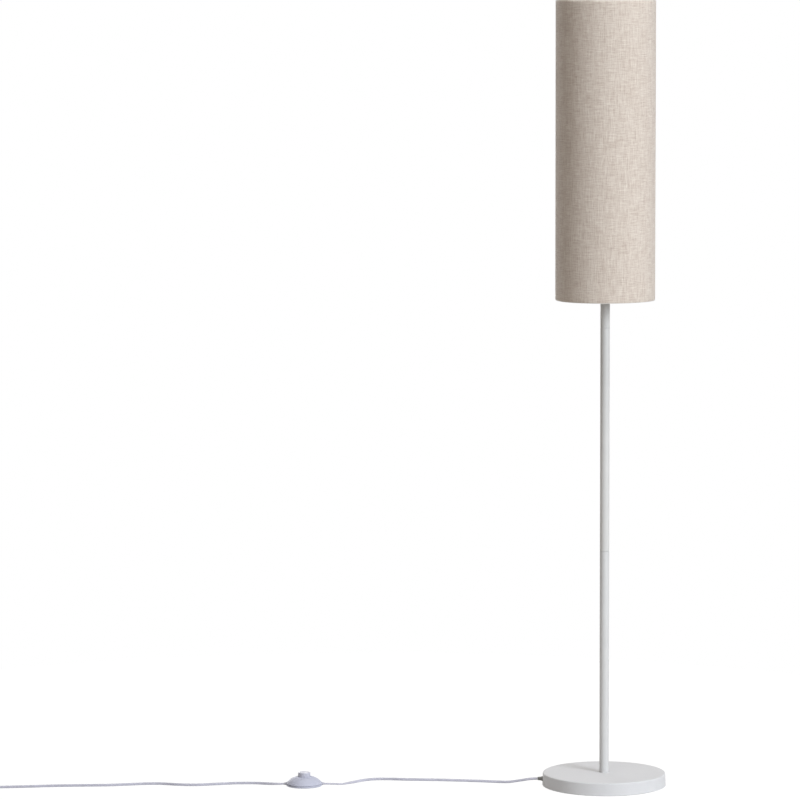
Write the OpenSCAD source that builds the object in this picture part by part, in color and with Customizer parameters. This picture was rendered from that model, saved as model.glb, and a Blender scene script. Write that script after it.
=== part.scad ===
// Column floor lamp: a weighted round base, a pole in three tubes, a tall linen
// drum shade on a wire carrier, and a mains lead with a foot switch in it.
// Millimetres. +Z is up, and the origin is the middle of the base, on the floor.

/* [Base] */
// Diameter of the base at its rim
base_d = 250; // [220:1:320]
// Height of the base's top face above the floor
base_h = 26; // [25.5:0.5:36]
// How much narrower the base is at the top of its side, across the diameter
base_taper = 2; // [0:0.5:6]
// Radius of the cover's rolled top edge
cover_edge_r = 2.6; // [2.3:0.1:5]
// Sheet thickness of the cover
cover_t = 1.6; // [1:0.1:2]
// Thickness of the foam pad
pad_t = 2; // [1.6:0.1:2.4]
// How far the pad stands below the cover's rim
pad_proud = 0.8; // [0.4:0.1:1.2]
// Thickness of the cast weight's plate
weight_plate_t = 8; // [6:0.5:8.5]
// Width of the rim round the cast weight
weight_rim_w = 14; // [12:1:20]
// Outer diameter of the cast weight's hub
hub_d = 60; // [50:1:80]
// Diameter of the nut's recess in the hub
recess_d = 34; // [31:1:38]
// Thickness of the hub's web, which the nut clamps
web_t = 4; // [3:0.5:4.5]
// Thickness of the cast weight's ribs
rib_t = 6; // [4:1:8]
// Number of ribs under the cast weight
rib_count = 6; // [6:2:10]
// Height of the lead's outlet above the floor
outlet_z = 13; // [12.6:0.1:13.4]
// How far the outlet's bushing stands out of the base
bushing_out = 10; // [6:0.5:14]
// Distance of the lead's clamp from the middle of the base
clamp_x = 75; // [66:1:84]

/* [Pole] */
// Outer diameter of the tubes
tube_d = 19; // [17.5:0.5:24]
// Wall of the tubes
tube_wall = 1.1; // [0.8:0.1:1.5]
// Length of the lower tube, and of the upper tube
tube_len = 452; // [300:1:600]
// Length of the top tube, which goes up into the shade
top_tube_len = 180; // [160:1:400]
// Chamfer at each tube's ends, which shows as a fine line at a joint
tube_chamfer = 0.5; // [0.2:0.1:0.7]
// Length of the threaded plug pressed into each tube's end
plug_insert_len = 14; // [12:1:24]
// Diameter of the hollow nipples
nipple_d = 10; // [9.6:0.1:10.6]
// Bore of the hollow nipples
nipple_bore = 7.6; // [7.2:0.1:8]
// How far a nipple goes into a tube's threaded plug
nipple_grip = 11; // [6:1:12]

/* [Shade] */
// Outer diameter of the shade
shade_d = 200; // [160:1:300]
// Height of the shade
shade_h = 600; // [420:1:700]
// Thickness of the linen
cloth_t = 0.6; // [0.4:0.1:1]
// Thickness of the stiff liner
liner_t = 0.45; // [0.3:0.05:0.8]
// Width of the glued overlap down the back of the shade
seam_w = 12; // [6:1:20]
// Diameter of the wire in the rings and arms
wire_d = 3.2; // [2.4:0.1:4]
// Height of the carrier's plate above the shade's lower edge
recess_h = 150; // [60:1:160]
// Bend radius of the carrier's arms
arm_bend_r = 12; // [8:1:20]
// Number of arms on the carrier
arm_count = 3; // [3:1:5]
// Hole of the carrier's plate
fitter_bore = 42; // [41:0.5:44]
// Outer diameter of the carrier's plate
fitter_d = 64; // [60:1:76]
// Thickness of the carrier's plate
fitter_t = 1.6; // [1:0.1:3]

/* [Lampholder] */
// Outer diameter of the lampholder's cap
cap_d = 38; // [36.5:0.5:39]
// Height of the lampholder's cap
cap_h = 20; // [18:0.5:24]
// Diameter of the thread that takes the shade ring
thread_d = 39.4; // [39:0.1:40]
// Height of the lampholder's upper part
skirt_h = 40; // [39:0.5:41]
// Diameter of the shoulder that the shade's carrier rests on
shoulder_d = 47; // [45:0.5:50]
// Wall of the lampholder's mouldings
holder_wall = 1.8; // [1.4:0.1:2]
// Height of the ceramic insert
insert_h = 13; // [12:0.5:14]
// Inner diameter of the threaded sleeve
sleeve_bore = 26.6; // [26.6:0.05:26.8]
// Wall of the threaded sleeve
sleeve_wall = 0.7; // [0.4:0.1:0.9]
// Height of the shade ring
ring_nut_h = 8; // [6:0.5:12]
// Number of grips round the shade ring
grip_count = 24; // [16:4:32]

/* [Bulb] */
// Largest diameter of the bulb
bulb_d = 60; // [52:1:70]
// Length of the bulb from its contact to its top
bulb_len = 110; // [100:1:120]
// Diameter of the bulb's screw shell
screw_d = 26.4; // [26:0.05:26.4]
// Wall of the bulb's housing and dome
bulb_wall = 1.4; // [1:0.1:2]

/* [Foot switch] */
// Diameter of the foot switch
switch_d = 70; // [68:1:80]
// Height of the foot switch's dome, without the button
dome_h = 19.5; // [19:0.5:24]
// Height of the parting line between tray and cover
split_z = 4.7; // [4.6:0.1:5.2]
// Radius of the dome's shoulder
dome_edge_r = 12; // [10:0.5:13]
// Wall of the foot switch's mouldings
switch_wall = 2; // [1.6:0.1:2.2]
// Diameter of the button
button_d = 25.2; // [22:0.2:26]
// Height of the button's top above the floor
button_top_z = 28; // [27:0.5:32]
// How far the button travels
button_travel = 4; // [2:0.5:4]
// Mean diameter of the button's spring
spring_d = 13; // [12:0.5:15]
// Wire diameter of the button's spring
spring_wire = 1; // [0.8:0.1:1.2]
// Number of turns of the button's spring
spring_turns = 5; // [4:1:6]

/* [Lead] */
// Diameter of the lead
cord_d = 5.4; // [5.2:0.1:5.5]
// Mean diameter of the coil that the spare lead is wound in
coil_d = 62; // [58:1:66]
// Width of the plug
plug_w = 35.3; // [34:0.1:37]
// Thickness of the plug
plug_t = 13.7; // [13:0.1:14]
// Length of the plug's body
plug_len = 36; // [30:1:40]
// Length of the plug's tapered tail
plug_tail_len = 22; // [20:1:30]
// Diameter of the plug's pins
pin_d = 4; // [3.8:0.1:4.2]
// Length of the plug's pins
pin_len = 19; // [18:0.5:20]
// Distance between the plug's pins
pin_pitch = 18.6; // [17.5:0.1:19.2]

/* [Hidden] */
$fn = 64;
// Cutters run this far past the faces they cut.
over = 1;
// Joined shapes run this far into each other.
fuse = 0.1;
// Running and press clearances, as a gap on the radius.
thread_gap = 0.05;
press_gap = 0.05;
slide_gap = 0.25;

// Base, from the floor up
cover_z = pad_proud;
cover_r = base_d / 2;
cover_top_r = cover_r - base_taper / 2;
weight_gap = 0.4;
weight_inset = cover_t + weight_gap;
weight_r = cover_r - weight_inset;
weight_top_r = cover_top_r - weight_inset;
weight_edge_r = cover_edge_r + weight_gap;
weight_z = pad_t;
weight_top = base_h - cover_t;
plate_z = weight_top - weight_plate_t;
rim_in_r = weight_top_r - weight_rim_w;
cast_draft = 1;
web_z = weight_top - web_t;
washer_t = 1.5;
washer_d = 28;
lock_washer_t = 1.2;
lock_washer_d = 17;
lock_slit_w = 1.6;
nut_t = 4;
nut_across = 17;
washer_bore = nipple_d + 0.4;
washer_z = web_z - washer_t;
lock_washer_z = washer_z - lock_washer_t;
nut_z = lock_washer_z - nut_t;
base_nipple_z = nut_z - 0.5;

// Lead through the base
cord_r = cord_d / 2;
bushing_bore = cord_d + 0.2;
bushing_neck_d = 8;
bushing_flange_d = 10;
bushing_flange_t = 1.5;
bushing_gap = 0.25;
bushing_tip_d = 6.8;
bushing_in = 9;
outlet_r = cover_r - base_taper / 2 * (outlet_z - cover_z) / (base_h - cover_z);
bushing_end_x = -(outlet_r + bushing_out);
channel_d = 15;
notch_w = 12;
clamp_z = 10;
clamp_len = 20;
clamp_w = 34;
clamp_gap = 0.6;
clamp_bar_t = 5;
clamp_hole_y = 12;
clamp_screw_d = 4;
clamp_head_d = 7;
clamp_head_t = 2.1;
clamp_screw_len = 16;
inner_floor_z = pad_t + cord_r + 0.3;
inner_bend_r = 10.5;

// Pole, from the base up
tube_bore = tube_d - 2 * tube_wall;
pole_z = base_h;
mid_joint_z = pole_z + tube_len;
top_joint_z = mid_joint_z + tube_len;
pole_top_z = top_joint_z + top_tube_len;
insert_lead_in = 0.8;
insert_inset = 0.1;

// Lampholder, from the pole's top up
cap_boss_d = 17;
cap_boss_h = 9;
cap_edge_r = 6;
cap_spigot_h = 4;
grub_z = pole_top_z + 5;
grub_d = 3;
skirt_z = pole_top_z + cap_h;
skirt_top_z = skirt_z + skirt_h;
skirt_bore = thread_d - 2 * holder_wall;
skirt_lip_d = 30.5;
skirt_lip_t = 2;
shoulder_h = 6;
shoulder_t = 2;
shoulder_z = skirt_z + shoulder_h;
insert_z = skirt_z + cap_spigot_h;
insert_top_z = insert_z + insert_h;
insert_d = skirt_bore - 0.4;
sleeve_seat = 1;
sleeve_h = 16;
sleeve_z = insert_top_z - sleeve_seat;
terminal_x = 9;
terminal_size = [6, 7, 6];
terminal_screw_d = 3;
terminal_head_d = 5;
contact_w = 6;
contact_t = 0.5;
contact_rise = 1.2;
contact_gap = 0.2;
core_d = 2.2;
core_gap = 0.4;
sheath_end_z = pole_top_z + cap_boss_h + 2;

// Shade, from its lower edge up
shade_z = shoulder_z - recess_h;
shade_r = shade_d / 2;
liner_r = shade_r - cloth_t;
liner_in_r = liner_r - liner_t;
wire_r = wire_d / 2;
ring_inset_z = wire_r + 0.6;
ring_r = liner_in_r - wire_r - 0.05;
leg_r = ring_r - wire_d;
arm_z = shoulder_z - wire_r;
arm_start_r = shoulder_d / 2 + 0.5;
arm_phase = 90;
ring_nut_flange_r = shoulder_d / 2 + 1;
ring_nut_flange_t = 1.6;
ring_nut_r = shoulder_d / 2 - 1.2;
grip_r = 0.9;

// Bulb, from its contact up
bulb_z = insert_top_z + contact_rise + contact_gap;
tip_d = 9.5;
tip_h = 2;
insulator_h = 4;
insulator_top_d = 23;
shell_wall = 0.8;
shell_z = bulb_z + tip_h + insulator_h - 1;
shell_top_z = bulb_z + 25;
neck_z = shell_top_z;
neck_r = 14;
dome_r = bulb_d / 2;
dome_z = bulb_z + bulb_len - dome_r;
// The neck is an arc that starts upright and runs into the dome's sphere without a corner.
neck_rise = dome_z - neck_z;
neck_arc_r = (neck_rise * neck_rise + neck_r * neck_r - dome_r * dome_r) / (2 * (dome_r - neck_r));
neck_arc_x = neck_r + neck_arc_r;
tangent_share = dome_r / (dome_r + neck_arc_r);
rim_z = dome_z - tangent_share * neck_rise;
rim_r = tangent_share * neck_arc_x;
board_t = 1.6;
board_z = rim_z - board_t - 1.5;
led_count = 8;
led_w = 3;
led_t = 0.7;

// Foot switch, in its own frame: its middle on the floor, the lead along X
switch_x = -608;
switch_y = -3;
switch_r = switch_d / 2;
foot_h = 0.6;
foot_recess = 0.4;
foot_d = 10;
foot_circle_r = switch_r - 12;
tray_z = foot_h;
tray_floor_t = 1.2;
tray_floor_z = tray_z + tray_floor_t;
tray_edge_r = 1.5;
tray_lean = 4;
lip_h = 1.5;
lip_gap = 0.35;
lip_t = 2;
dome_flank = switch_r - dome_edge_r;
dome_rise = dome_h - split_z;
post_circle_r = dome_flank - 1.5;
post_d = 6.5;
post_z = split_z - 0.3;
pilot_d = 2.5;
screw_head_d = 5.4;
screw_head_t = 1.3;
counterbore_d = 6;
counterbore_h = 1.6;
switch_screw_len = 9;
button_r = button_d / 2;
button_wall = 2;
button_edge_r = 1.8;
flange_w = 1.4;
flange_t = 2;
collar_t = 2;
collar_z = dome_h - 4;
flange_top_z = collar_z - 0.3;
module_size = [15, 13];
module_in_flange = 1.6;
module_top_z = flange_top_z - flange_t - button_travel + module_in_flange;
module_bore_d = 5.6;
stem_d = 5;
stem_z = module_top_z - 1;
stem_well_z = stem_z - button_travel - 0.6;
spring_boss_d = 9;
spring_boss_h = 1.2;
spring_end_gap = 0.1;
block_x = button_r + flange_w + 1.4;
block_size = [6, 9, 6.5];
block_screw_d = 3.6;
relief_out = 5;
relief_root_d = 7.6;
relief_tip_d = 6.2;
relief_neck_d = 6.8;
relief_flange_t = 1.8;
relief_gap = 0.5;
relief_bore = cord_d + 0.1;
relief_end_x = switch_r + relief_out;
sheath_end_x = switch_r - 9;

// Lead: where it lies, from the bushing to the foot switch, and from there to the coil
ring_step = 17;
cord_sides = 8;
route_to_switch = [
    [-134.9, 0, 13], [-150, 1, 12.2], [-170, 7, 8], [-192, 14, 4], [-215, 22, 2.7], [-245, 29, 2.7],
    [-290, 37, 2.7], [-340, 44, 2.7], [-390, 48, 2.7], [-435, 54, 2.7], [-462, 54, 2.7],
    [-486, 43, 2.7], [-508, 23, 2.7], [-530, 7, 2.7], [-550, -2, 4.2], [-567.5, -3, 4.7]
];
route_to_coil = [
    [-648.5, -3, 4.7], [-665, -2, 4.2], [-685, 7, 2.7], [-710, 13, 2.7], [-750, 12, 2.7],
    [-790, 3, 2.7], [-828, -5, 2.7], [-865, -1, 2.7], [-898, 9, 2.7], [-930, 9, 2.7],
    [-965, 2, 2.7], [-1010, -6, 2.7], [-1060, -8, 2.7], [-1120, -12, 2.7], [-1180, -20, 2.7],
    [-1230, -24, 2.7], [-1266, -24, 3.3]
];
route_to_plug = [[-1319, 29, 8.4], [-1319, 35, 7.2], [-1319, 41.4, 6.85]];
coil_x = -1285;
coil_y = 10;
tie_t = 0.6;
tie_w = 9;
tie_angle = 60;
bundle_w = 2 * cord_d + 0.2;
coil_top_z = tie_t + bundle_w;
plug_tail_x = -1319;
plug_tail_y = 42;
plug_face_y = plug_tail_y + plug_tail_len + plug_len;

// ---- Outlines and shared shapes ----

// Half an outline of a round piece with straight sides and a rounded top edge.
module disc_outline(low_r, top_r, z, top_z, edge_r) {
    lean = atan((low_r - top_r) / (top_z - z));
    centre_z = top_z - edge_r;
    side_r = top_r + (low_r - top_r) * edge_r / (top_z - z);
    centre_r = side_r - edge_r / cos(lean);
    side = [centre_r + edge_r * cos(lean), centre_z + edge_r * sin(lean)];
    polygon([[0, z], [low_r, z], side, [centre_r, centre_z], [centre_r, top_z], [0, top_z]]);
    intersection() {
        translate([centre_r, centre_z]) circle(edge_r);
        translate([0, z]) square([centre_r + edge_r + over, top_z - z]);
    }
}

// Half an outline of a low dome: a tight shoulder arc that runs into a wide crown arc. Its side
// goes straight down by a drop.
module dome_outline(flank, edge_r, z, rise, drop) {
    crown_r = (flank * flank + rise * rise - edge_r * edge_r) / (2 * (rise - edge_r));
    crown_z = z + rise - crown_r;
    reach = crown_r / (crown_r - edge_r);
    meet = [flank * reach, crown_z + (z - crown_z) * reach];
    intersection() {
        translate([0, crown_z]) circle(crown_r, $fn = 256);
        polygon([[0, z], [flank, z], meet, [meet[0], z + rise + over], [0, z + rise + over]]);
    }
    intersection() {
        translate([flank, z]) circle(edge_r);
        polygon([[flank, z], [flank + edge_r + over, z], [flank + edge_r + over, meet[1]], meet]);
    }
    if (drop > 0)
        translate([0, z - drop]) square([flank + edge_r, drop]);
}

// A straight tube that stands on z = 0.
module tube(outer_d, inner_d, height) {
    difference() {
        cylinder(d = outer_d, h = height);
        translate([0, 0, -over]) cylinder(d = inner_d, h = height + 2 * over);
    }
}

// A cylinder along +X from x = 0.
module rod_x(d, length) {
    rotate([0, 90, 0]) cylinder(d = d, h = length);
}

// A cone along +X from x = 0.
module cone_x(d1, d2, length) {
    rotate([0, 90, 0]) cylinder(d1 = d1, d2 = d2, h = length);
}

// A block centred on X and Y that stands on z = 0.
module block(size) {
    translate([-size[0] / 2, -size[1] / 2, 0]) cube(size);
}

// A screw with its head down: the head stands on z = 0 and the shank goes up.
module pan_screw(shank_d, head_d, head_t, length) {
    slot_w = head_d / 6;
    slot_t = head_t / 2;
    difference() {
        union() {
            cylinder(d = head_d, h = head_t);
            cylinder(d = shank_d, h = head_t + length);
        }
        translate([0, 0, -over]) block([slot_w, head_d * 0.7, slot_t + over]);
        translate([0, 0, -over]) block([head_d * 0.7, slot_w, slot_t + over]);
    }
}

// Pieces set out evenly round the Z axis.
module around(count, phase = 0) {
    for (i = [0 : count - 1])
        rotate([0, 0, phase + i * 360 / count])
            children();
}

// ---- Swept tubes ----

function unit(v) = v / norm(v);

// A point between b and c on the smooth curve through a, b, c and d.
function on_curve(a, b, c, d, t) =
    0.5 * (2 * b + (c - a) * t + (2 * a - 5 * b + 4 * c - d) * t ^ 2 + (3 * b - a - 3 * c + d) * t ^ 3);

// The route with points added between its own, about a step apart.
function smooth(route, step) =
    let (last = len(route) - 1)
    concat(
        [for (i = [0 : last - 1])
            let (
                a = route[max(i - 1, 0)],
                b = route[i],
                c = route[i + 1],
                d = route[min(i + 2, last)],
                cuts = max(1, round(norm(c - b) / step))
            )
            for (k = [0 : cuts - 1]) on_curve(a, b, c, d, k / cuts)],
        [route[last]]
    );

// A closed tube along a path. The up direction is never parallel to the path.
module sweep(path, r, sides, up = [0, 0, 1]) {
    last = len(path) - 1;
    rings = [
        for (i = [0 : last])
            let (
                ahead = unit(path[min(i + 1, last)] - path[max(i - 1, 0)]),
                side = unit(cross(ahead, up)),
                rise = cross(side, ahead)
            )
            for (k = [0 : sides - 1])
                let (turn = k * 360 / sides)
                path[i] + r * (cos(turn) * side + sin(turn) * rise)
    ];
    walls = [
        for (i = [0 : last - 1], k = [0 : sides - 1])
            let (n = (k + 1) % sides)
            [i * sides + k, i * sides + n, (i + 1) * sides + n, (i + 1) * sides + k]
    ];
    start_cap = [for (k = [sides - 1 : -1 : 0]) k];
    end_cap = [for (k = [0 : sides - 1]) last * sides + k];
    polyhedron(rings, concat([start_cap], walls, [end_cap]));
}

// ---- Base ----

// Space inside the cover from a height up, less a gap all round.
module cover_space(gap, z) {
    inset = cover_t + gap;
    edge_r = cover_edge_r - cover_t + gap;
    rotate_extrude()
        disc_outline(cover_r - inset, cover_top_r - inset, z, weight_top, edge_r);
}

module base_cover() {
    color("gainsboro")
    difference() {
        rotate_extrude() disc_outline(cover_r, cover_top_r, cover_z, base_h, cover_edge_r);
        cover_space(0, cover_z - over);
        translate([0, 0, weight_top - over]) cylinder(d = washer_bore, h = cover_t + 2 * over);
        translate([-cover_r - over, 0, outlet_z]) rod_x(bushing_neck_d + 0.2, weight_rim_w);
    }
}

// Ring-shaped pocket under the cast plate, with draft for the mould.
module cast_pocket() {
    rotate_extrude()
        polygon([
            [hub_d / 2 + cast_draft, weight_z - over], [rim_in_r + cast_draft, weight_z - over],
            [rim_in_r, plate_z], [hub_d / 2 + 2 * cast_draft, plate_z]
        ]);
}

module weight_ribs() {
    around(rib_count, 180 / rib_count)
        translate([hub_d / 2, -rib_t / 2, weight_z])
            cube([rim_in_r + 2 * cast_draft - hub_d / 2, rib_t, plate_z - weight_z + over]);
}

// Solid block over the lead, which the clamp's screws go into.
module clamp_saddle() {
    translate([-clamp_x, 0, clamp_z]) block([clamp_len, clamp_w, plate_z - clamp_z + over]);
}

// Way for the lead from the outlet to the nut's recess.
module weight_channel() {
    translate([-cover_r - over, 0, outlet_z]) rod_x(channel_d, cover_r - rim_in_r + 3 * over);
    translate([-cover_r - over, -channel_d / 2, weight_z - over])
        cube([cover_r - rim_in_r + 3 * over, channel_d, outlet_z - weight_z + over]);
    translate([-hub_d / 2 - 3 * over, -notch_w / 2, weight_z - over])
        cube([hub_d / 2 + 3 * over, notch_w, clamp_z + over]);
    translate([-clamp_x - clamp_len, 0, clamp_z]) rod_x(cord_d + 0.2, 2 * clamp_len);
}

module base_weight() {
    color("dimgray")
    difference() {
        union() {
            difference() {
                cover_space(weight_gap, weight_z);
                cast_pocket();
            }
            weight_ribs();
            clamp_saddle();
        }
        translate([0, 0, weight_z - over]) cylinder(d = recess_d, h = web_z - weight_z + over);
        translate([0, 0, web_z - over]) cylinder(d = washer_bore, h = web_t + 2 * over);
        weight_channel();
        for (side = [-1, 1])
            translate([-clamp_x, side * clamp_hole_y, clamp_z - over])
                cylinder(d = clamp_screw_d + 0.1, h = clamp_screw_len - clamp_bar_t + over);
    }
}

module base_pad() {
    color("#202020")
    cylinder(r = cover_r - cover_t - 0.5 - base_taper / 2 * pad_t / base_h, h = pad_t);
}

module base_washer() {
    color("silver")
    translate([0, 0, washer_z]) tube(washer_d, washer_bore, washer_t);
}

module base_lock_washer() {
    color("darkgray")
    translate([0, 0, lock_washer_z])
        difference() {
            tube(lock_washer_d, washer_bore, lock_washer_t);
            translate([0, -lock_slit_w / 2, -over])
                cube([lock_washer_d, lock_slit_w, lock_washer_t + 2 * over]);
        }
}

module base_nut() {
    color("silver")
    translate([0, 0, nut_z])
        difference() {
            intersection() {
                cylinder(d = nut_across / cos(30), h = nut_t, $fn = 6);
                cylinder(d1 = nut_across, d2 = nut_across + 4 * nut_t, h = nut_t);
            }
            translate([0, 0, -over]) cylinder(r = nipple_d / 2 + thread_gap, h = nut_t + 2 * over);
        }
}

// A hollow threaded nipple between two heights.
module nipple(z, top_z) {
    translate([0, 0, z]) tube(nipple_d, nipple_bore, top_z - z);
}

module base_nipple() {
    color("goldenrod")
    nipple(base_nipple_z, pole_z + nipple_grip);
}

// Strain relief bush. Its collars trap the cover's wall, and its nose tapers to the lead.
module cord_bushing() {
    groove = cover_t + 2 * bushing_gap;
    flange_x = bushing_out - bushing_flange_t;
    color("#787876")
    translate([bushing_end_x, 0, outlet_z])
        difference() {
            union() {
                cone_x(bushing_tip_d, bushing_neck_d + 1, flange_x);
                translate([flange_x, 0, 0]) rod_x(bushing_flange_d, bushing_flange_t - bushing_gap);
                translate([flange_x, 0, 0]) rod_x(bushing_neck_d, bushing_flange_t + groove + bushing_in);
                translate([bushing_out + groove, 0, 0])
                    cone_x(bushing_flange_d, bushing_neck_d, bushing_in / 2);
            }
            translate([-over, 0, 0]) rod_x(bushing_bore, bushing_out + groove + bushing_in + 2 * over);
            for (i = [1 : 3])
                translate([i * flange_x / 4, 0, 0])
                    difference() {
                        translate([-0.4, 0, 0]) rod_x(bushing_flange_d, 0.8);
                        translate([-0.4 - over, 0, 0]) rod_x(bushing_tip_d - 0.6, 0.8 + 2 * over);
                    }
        }
}

module cord_clamp() {
    top = clamp_z - clamp_gap;
    color("whitesmoke")
    difference() {
        translate([-clamp_x, 0, top - clamp_bar_t]) block([clamp_len / 2, clamp_w, clamp_bar_t]);
        translate([-clamp_x - clamp_len, 0, clamp_z]) rod_x(cord_d + 0.2, 2 * clamp_len);
        for (side = [-1, 1])
            translate([-clamp_x, side * clamp_hole_y, 0]) cylinder(d = clamp_screw_d + 0.4, h = clamp_z);
    }
}

module clamp_screws() {
    color("silver")
    for (side = [-1, 1])
        translate([-clamp_x, side * clamp_hole_y, clamp_z - clamp_gap - clamp_bar_t - clamp_head_t])
            pan_screw(clamp_screw_d, clamp_head_d, clamp_head_t, clamp_screw_len - 2);
}

// The lead inside the lamp: through the bushing and the clamp, round a bend, and up the pole.
module inner_cord() {
    bend = [
        for (a = [-90 : 22.5 : 0])
            [inner_bend_r * (cos(a) - 1), 0, inner_floor_z + inner_bend_r * (1 + sin(a))]
    ];
    run = [
        [bushing_end_x, 0, outlet_z], [-outlet_r + bushing_in + 2, 0, outlet_z],
        [-clamp_x - clamp_len / 2, 0, clamp_z], [-clamp_x + clamp_len / 2, 0, clamp_z],
        [-hub_d / 2 - 8, 0, inner_floor_z + 1], [-hub_d / 2 + 6, 0, inner_floor_z]
    ];
    color("gainsboro")
    sweep(concat(run, bend, [[0, 0, sheath_end_z]]), cord_r, cord_sides, [0, 1, 0]);
}

// ---- Pole ----

module pole_tube(z, length) {
    r = tube_d / 2;
    c = tube_chamfer;
    color("lightgray")
    translate([0, 0, z])
        rotate_extrude()
            polygon([
                [tube_bore / 2, 0], [r - c, 0], [r, c], [r, length - c], [r - c, length],
                [tube_bore / 2, length]
            ]);
}

module lower_tube() { pole_tube(pole_z, tube_len); }
module upper_tube() { pole_tube(mid_joint_z, tube_len); }
module top_tube() { pole_tube(top_joint_z, top_tube_len); }

// A threaded plug for a tube that starts at z = 0, with its lead-in below.
module tube_insert() {
    bore_r = nipple_d / 2 + thread_gap;
    outer_r = tube_bore / 2 - press_gap;
    translate([0, 0, insert_inset])
        rotate_extrude()
            polygon([
                [bore_r + insert_lead_in, 0], [outer_r, 0], [outer_r, plug_insert_len],
                [bore_r, plug_insert_len], [bore_r, insert_lead_in]
            ]);
}

module tube_inserts() {
    color("silver") {
        for (z = [pole_z, mid_joint_z, top_joint_z])
            translate([0, 0, z]) tube_insert();
        for (z = [mid_joint_z, top_joint_z, pole_top_z])
            translate([0, 0, z]) mirror([0, 0, 1]) tube_insert();
    }
}

module tube_nipples() {
    color("goldenrod")
    for (z = [mid_joint_z, top_joint_z])
        nipple(z - nipple_grip, z + nipple_grip);
}

module holder_nipple() {
    color("goldenrod")
    nipple(pole_top_z - nipple_grip, pole_top_z + cap_boss_h);
}

// ---- Lampholder ----

module holder_cap() {
    r = cap_d / 2;
    in_r = skirt_bore / 2 - 0.1 - holder_wall;
    in_h = cap_h + cap_spigot_h - holder_wall + over;
    color("whitesmoke")
    difference() {
        translate([0, 0, pole_top_z])
            union() {
                difference() {
                    union() {
                        translate([0, 0, cap_h]) mirror([0, 0, 1])
                            rotate_extrude() disc_outline(r, r, 0, cap_h, cap_edge_r);
                        cylinder(r = skirt_bore / 2 - 0.1, h = cap_h + cap_spigot_h);
                    }
                    translate([0, 0, cap_h + cap_spigot_h + over]) mirror([0, 0, 1])
                        rotate_extrude() disc_outline(in_r, in_r, 0, in_h, cap_edge_r);
                }
                cylinder(d = cap_boss_d, h = cap_boss_h);
                translate([cap_boss_d / 2 - 2, -grub_d, holder_wall])
                    cube([r - cap_boss_d / 2, 2 * grub_d, cap_boss_h - holder_wall]);
            }
        translate([0, 0, pole_top_z - over])
            cylinder(r = nipple_d / 2 + thread_gap, h = cap_boss_h + 2 * over);
        translate([0, 0, grub_z]) rod_x(grub_d + 0.1, r + over);
    }
}

module cap_grub_screw() {
    head_x = cap_d / 2 - 1;
    foot_x = nipple_d / 2 + 0.1;
    color("silver")
    translate([0, 0, grub_z])
        difference() {
            translate([foot_x, 0, 0]) rod_x(grub_d, head_x - foot_x);
            translate([head_x - 0.8, -grub_d, -0.3]) cube([2, 2 * grub_d, 0.6]);
        }
}

module holder_skirt() {
    in_r = skirt_bore / 2;
    cap_r = cap_d / 2;
    rim_r = shoulder_d / 2;
    out_r = thread_d / 2;
    color("whitesmoke")
    rotate_extrude()
        polygon([
            [in_r, skirt_z], [cap_r, skirt_z], [cap_r, skirt_z + 1], [rim_r, shoulder_z - shoulder_t],
            [rim_r, shoulder_z], [out_r, shoulder_z], [out_r, skirt_top_z - 4],
            [out_r - 1.2, skirt_top_z - 3], [out_r - 1.2, skirt_top_z - 0.6],
            [out_r - 1.8, skirt_top_z], [skirt_lip_d / 2, skirt_top_z],
            [skirt_lip_d / 2, skirt_top_z - skirt_lip_t], [in_r, skirt_top_z - skirt_lip_t]
        ]);
}

// Ceramic disc with a seat for the sleeve, a well for the contact and pockets for the terminals.
module holder_insert() {
    sleeve_out_r = sleeve_bore / 2 + sleeve_wall;
    color("white")
    difference() {
        translate([0, 0, insert_z]) cylinder(d = insert_d, h = insert_h);
        translate([0, 0, sleeve_z])
            tube(2 * sleeve_out_r + 0.1, sleeve_bore - 0.4, sleeve_seat + over);
        translate([0, 0, insert_top_z - contact_t])
            block([2 * terminal_x + 4, contact_w + 1, contact_t + over]);
        for (side = [-1, 1])
            translate([side * terminal_x, 0, insert_z - over])
                block([terminal_size[0] + 0.2, terminal_size[1] + 0.2, terminal_size[2] + over]);
        around(2, 90)
            translate([insert_d / 2, 0, insert_z - over]) cylinder(d = 3, h = insert_h + 2 * over);
    }
}

module holder_terminals() {
    color("gold")
    for (side = [-1, 1])
        translate([side * terminal_x, 0, insert_z + 0.1])
            difference() {
                block([terminal_size[0], terminal_size[1], terminal_size[2] - 0.1]);
                translate([0, 1.4, -over]) cylinder(d = terminal_screw_d, h = terminal_size[2] - over);
                translate([0, -1.9, -over]) cylinder(d = core_d + 0.1, h = terminal_size[2] - over);
            }
}

module terminal_screws() {
    color("silver")
    for (side = [-1, 1])
        translate([side * terminal_x, 1.4, insert_z - 1.4])
            pan_screw(terminal_screw_d - 0.1, terminal_head_d - 1, 1.4, 3.4);
}

// A sprung brass strip: its foot lies in the insert's well and its middle bows up to the bulb.
module holder_contact() {
    foot_x = terminal_x + 1;
    low_z = insert_top_z - contact_t;
    top_z = insert_top_z + contact_rise - contact_t;
    color("gold")
    translate([0, contact_w / 2, 0]) rotate([90, 0, 0])
        linear_extrude(contact_w)
            polygon([
                [-foot_x, low_z], [-foot_x + 3, low_z], [-3, top_z - 0.3], [-1.5, top_z], [1.5, top_z],
                [5, top_z - 0.8], [5, top_z - 0.8 + contact_t], [1.5, top_z + contact_t],
                [-1.5, top_z + contact_t], [-3, top_z - 0.3 + contact_t], [-foot_x + 3, low_z + contact_t],
                [-foot_x, low_z + contact_t]
            ]);
}

module holder_sleeve() {
    color("gold")
    translate([0, 0, sleeve_z]) tube(sleeve_bore + 2 * sleeve_wall, sleeve_bore, sleeve_h);
}

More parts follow.
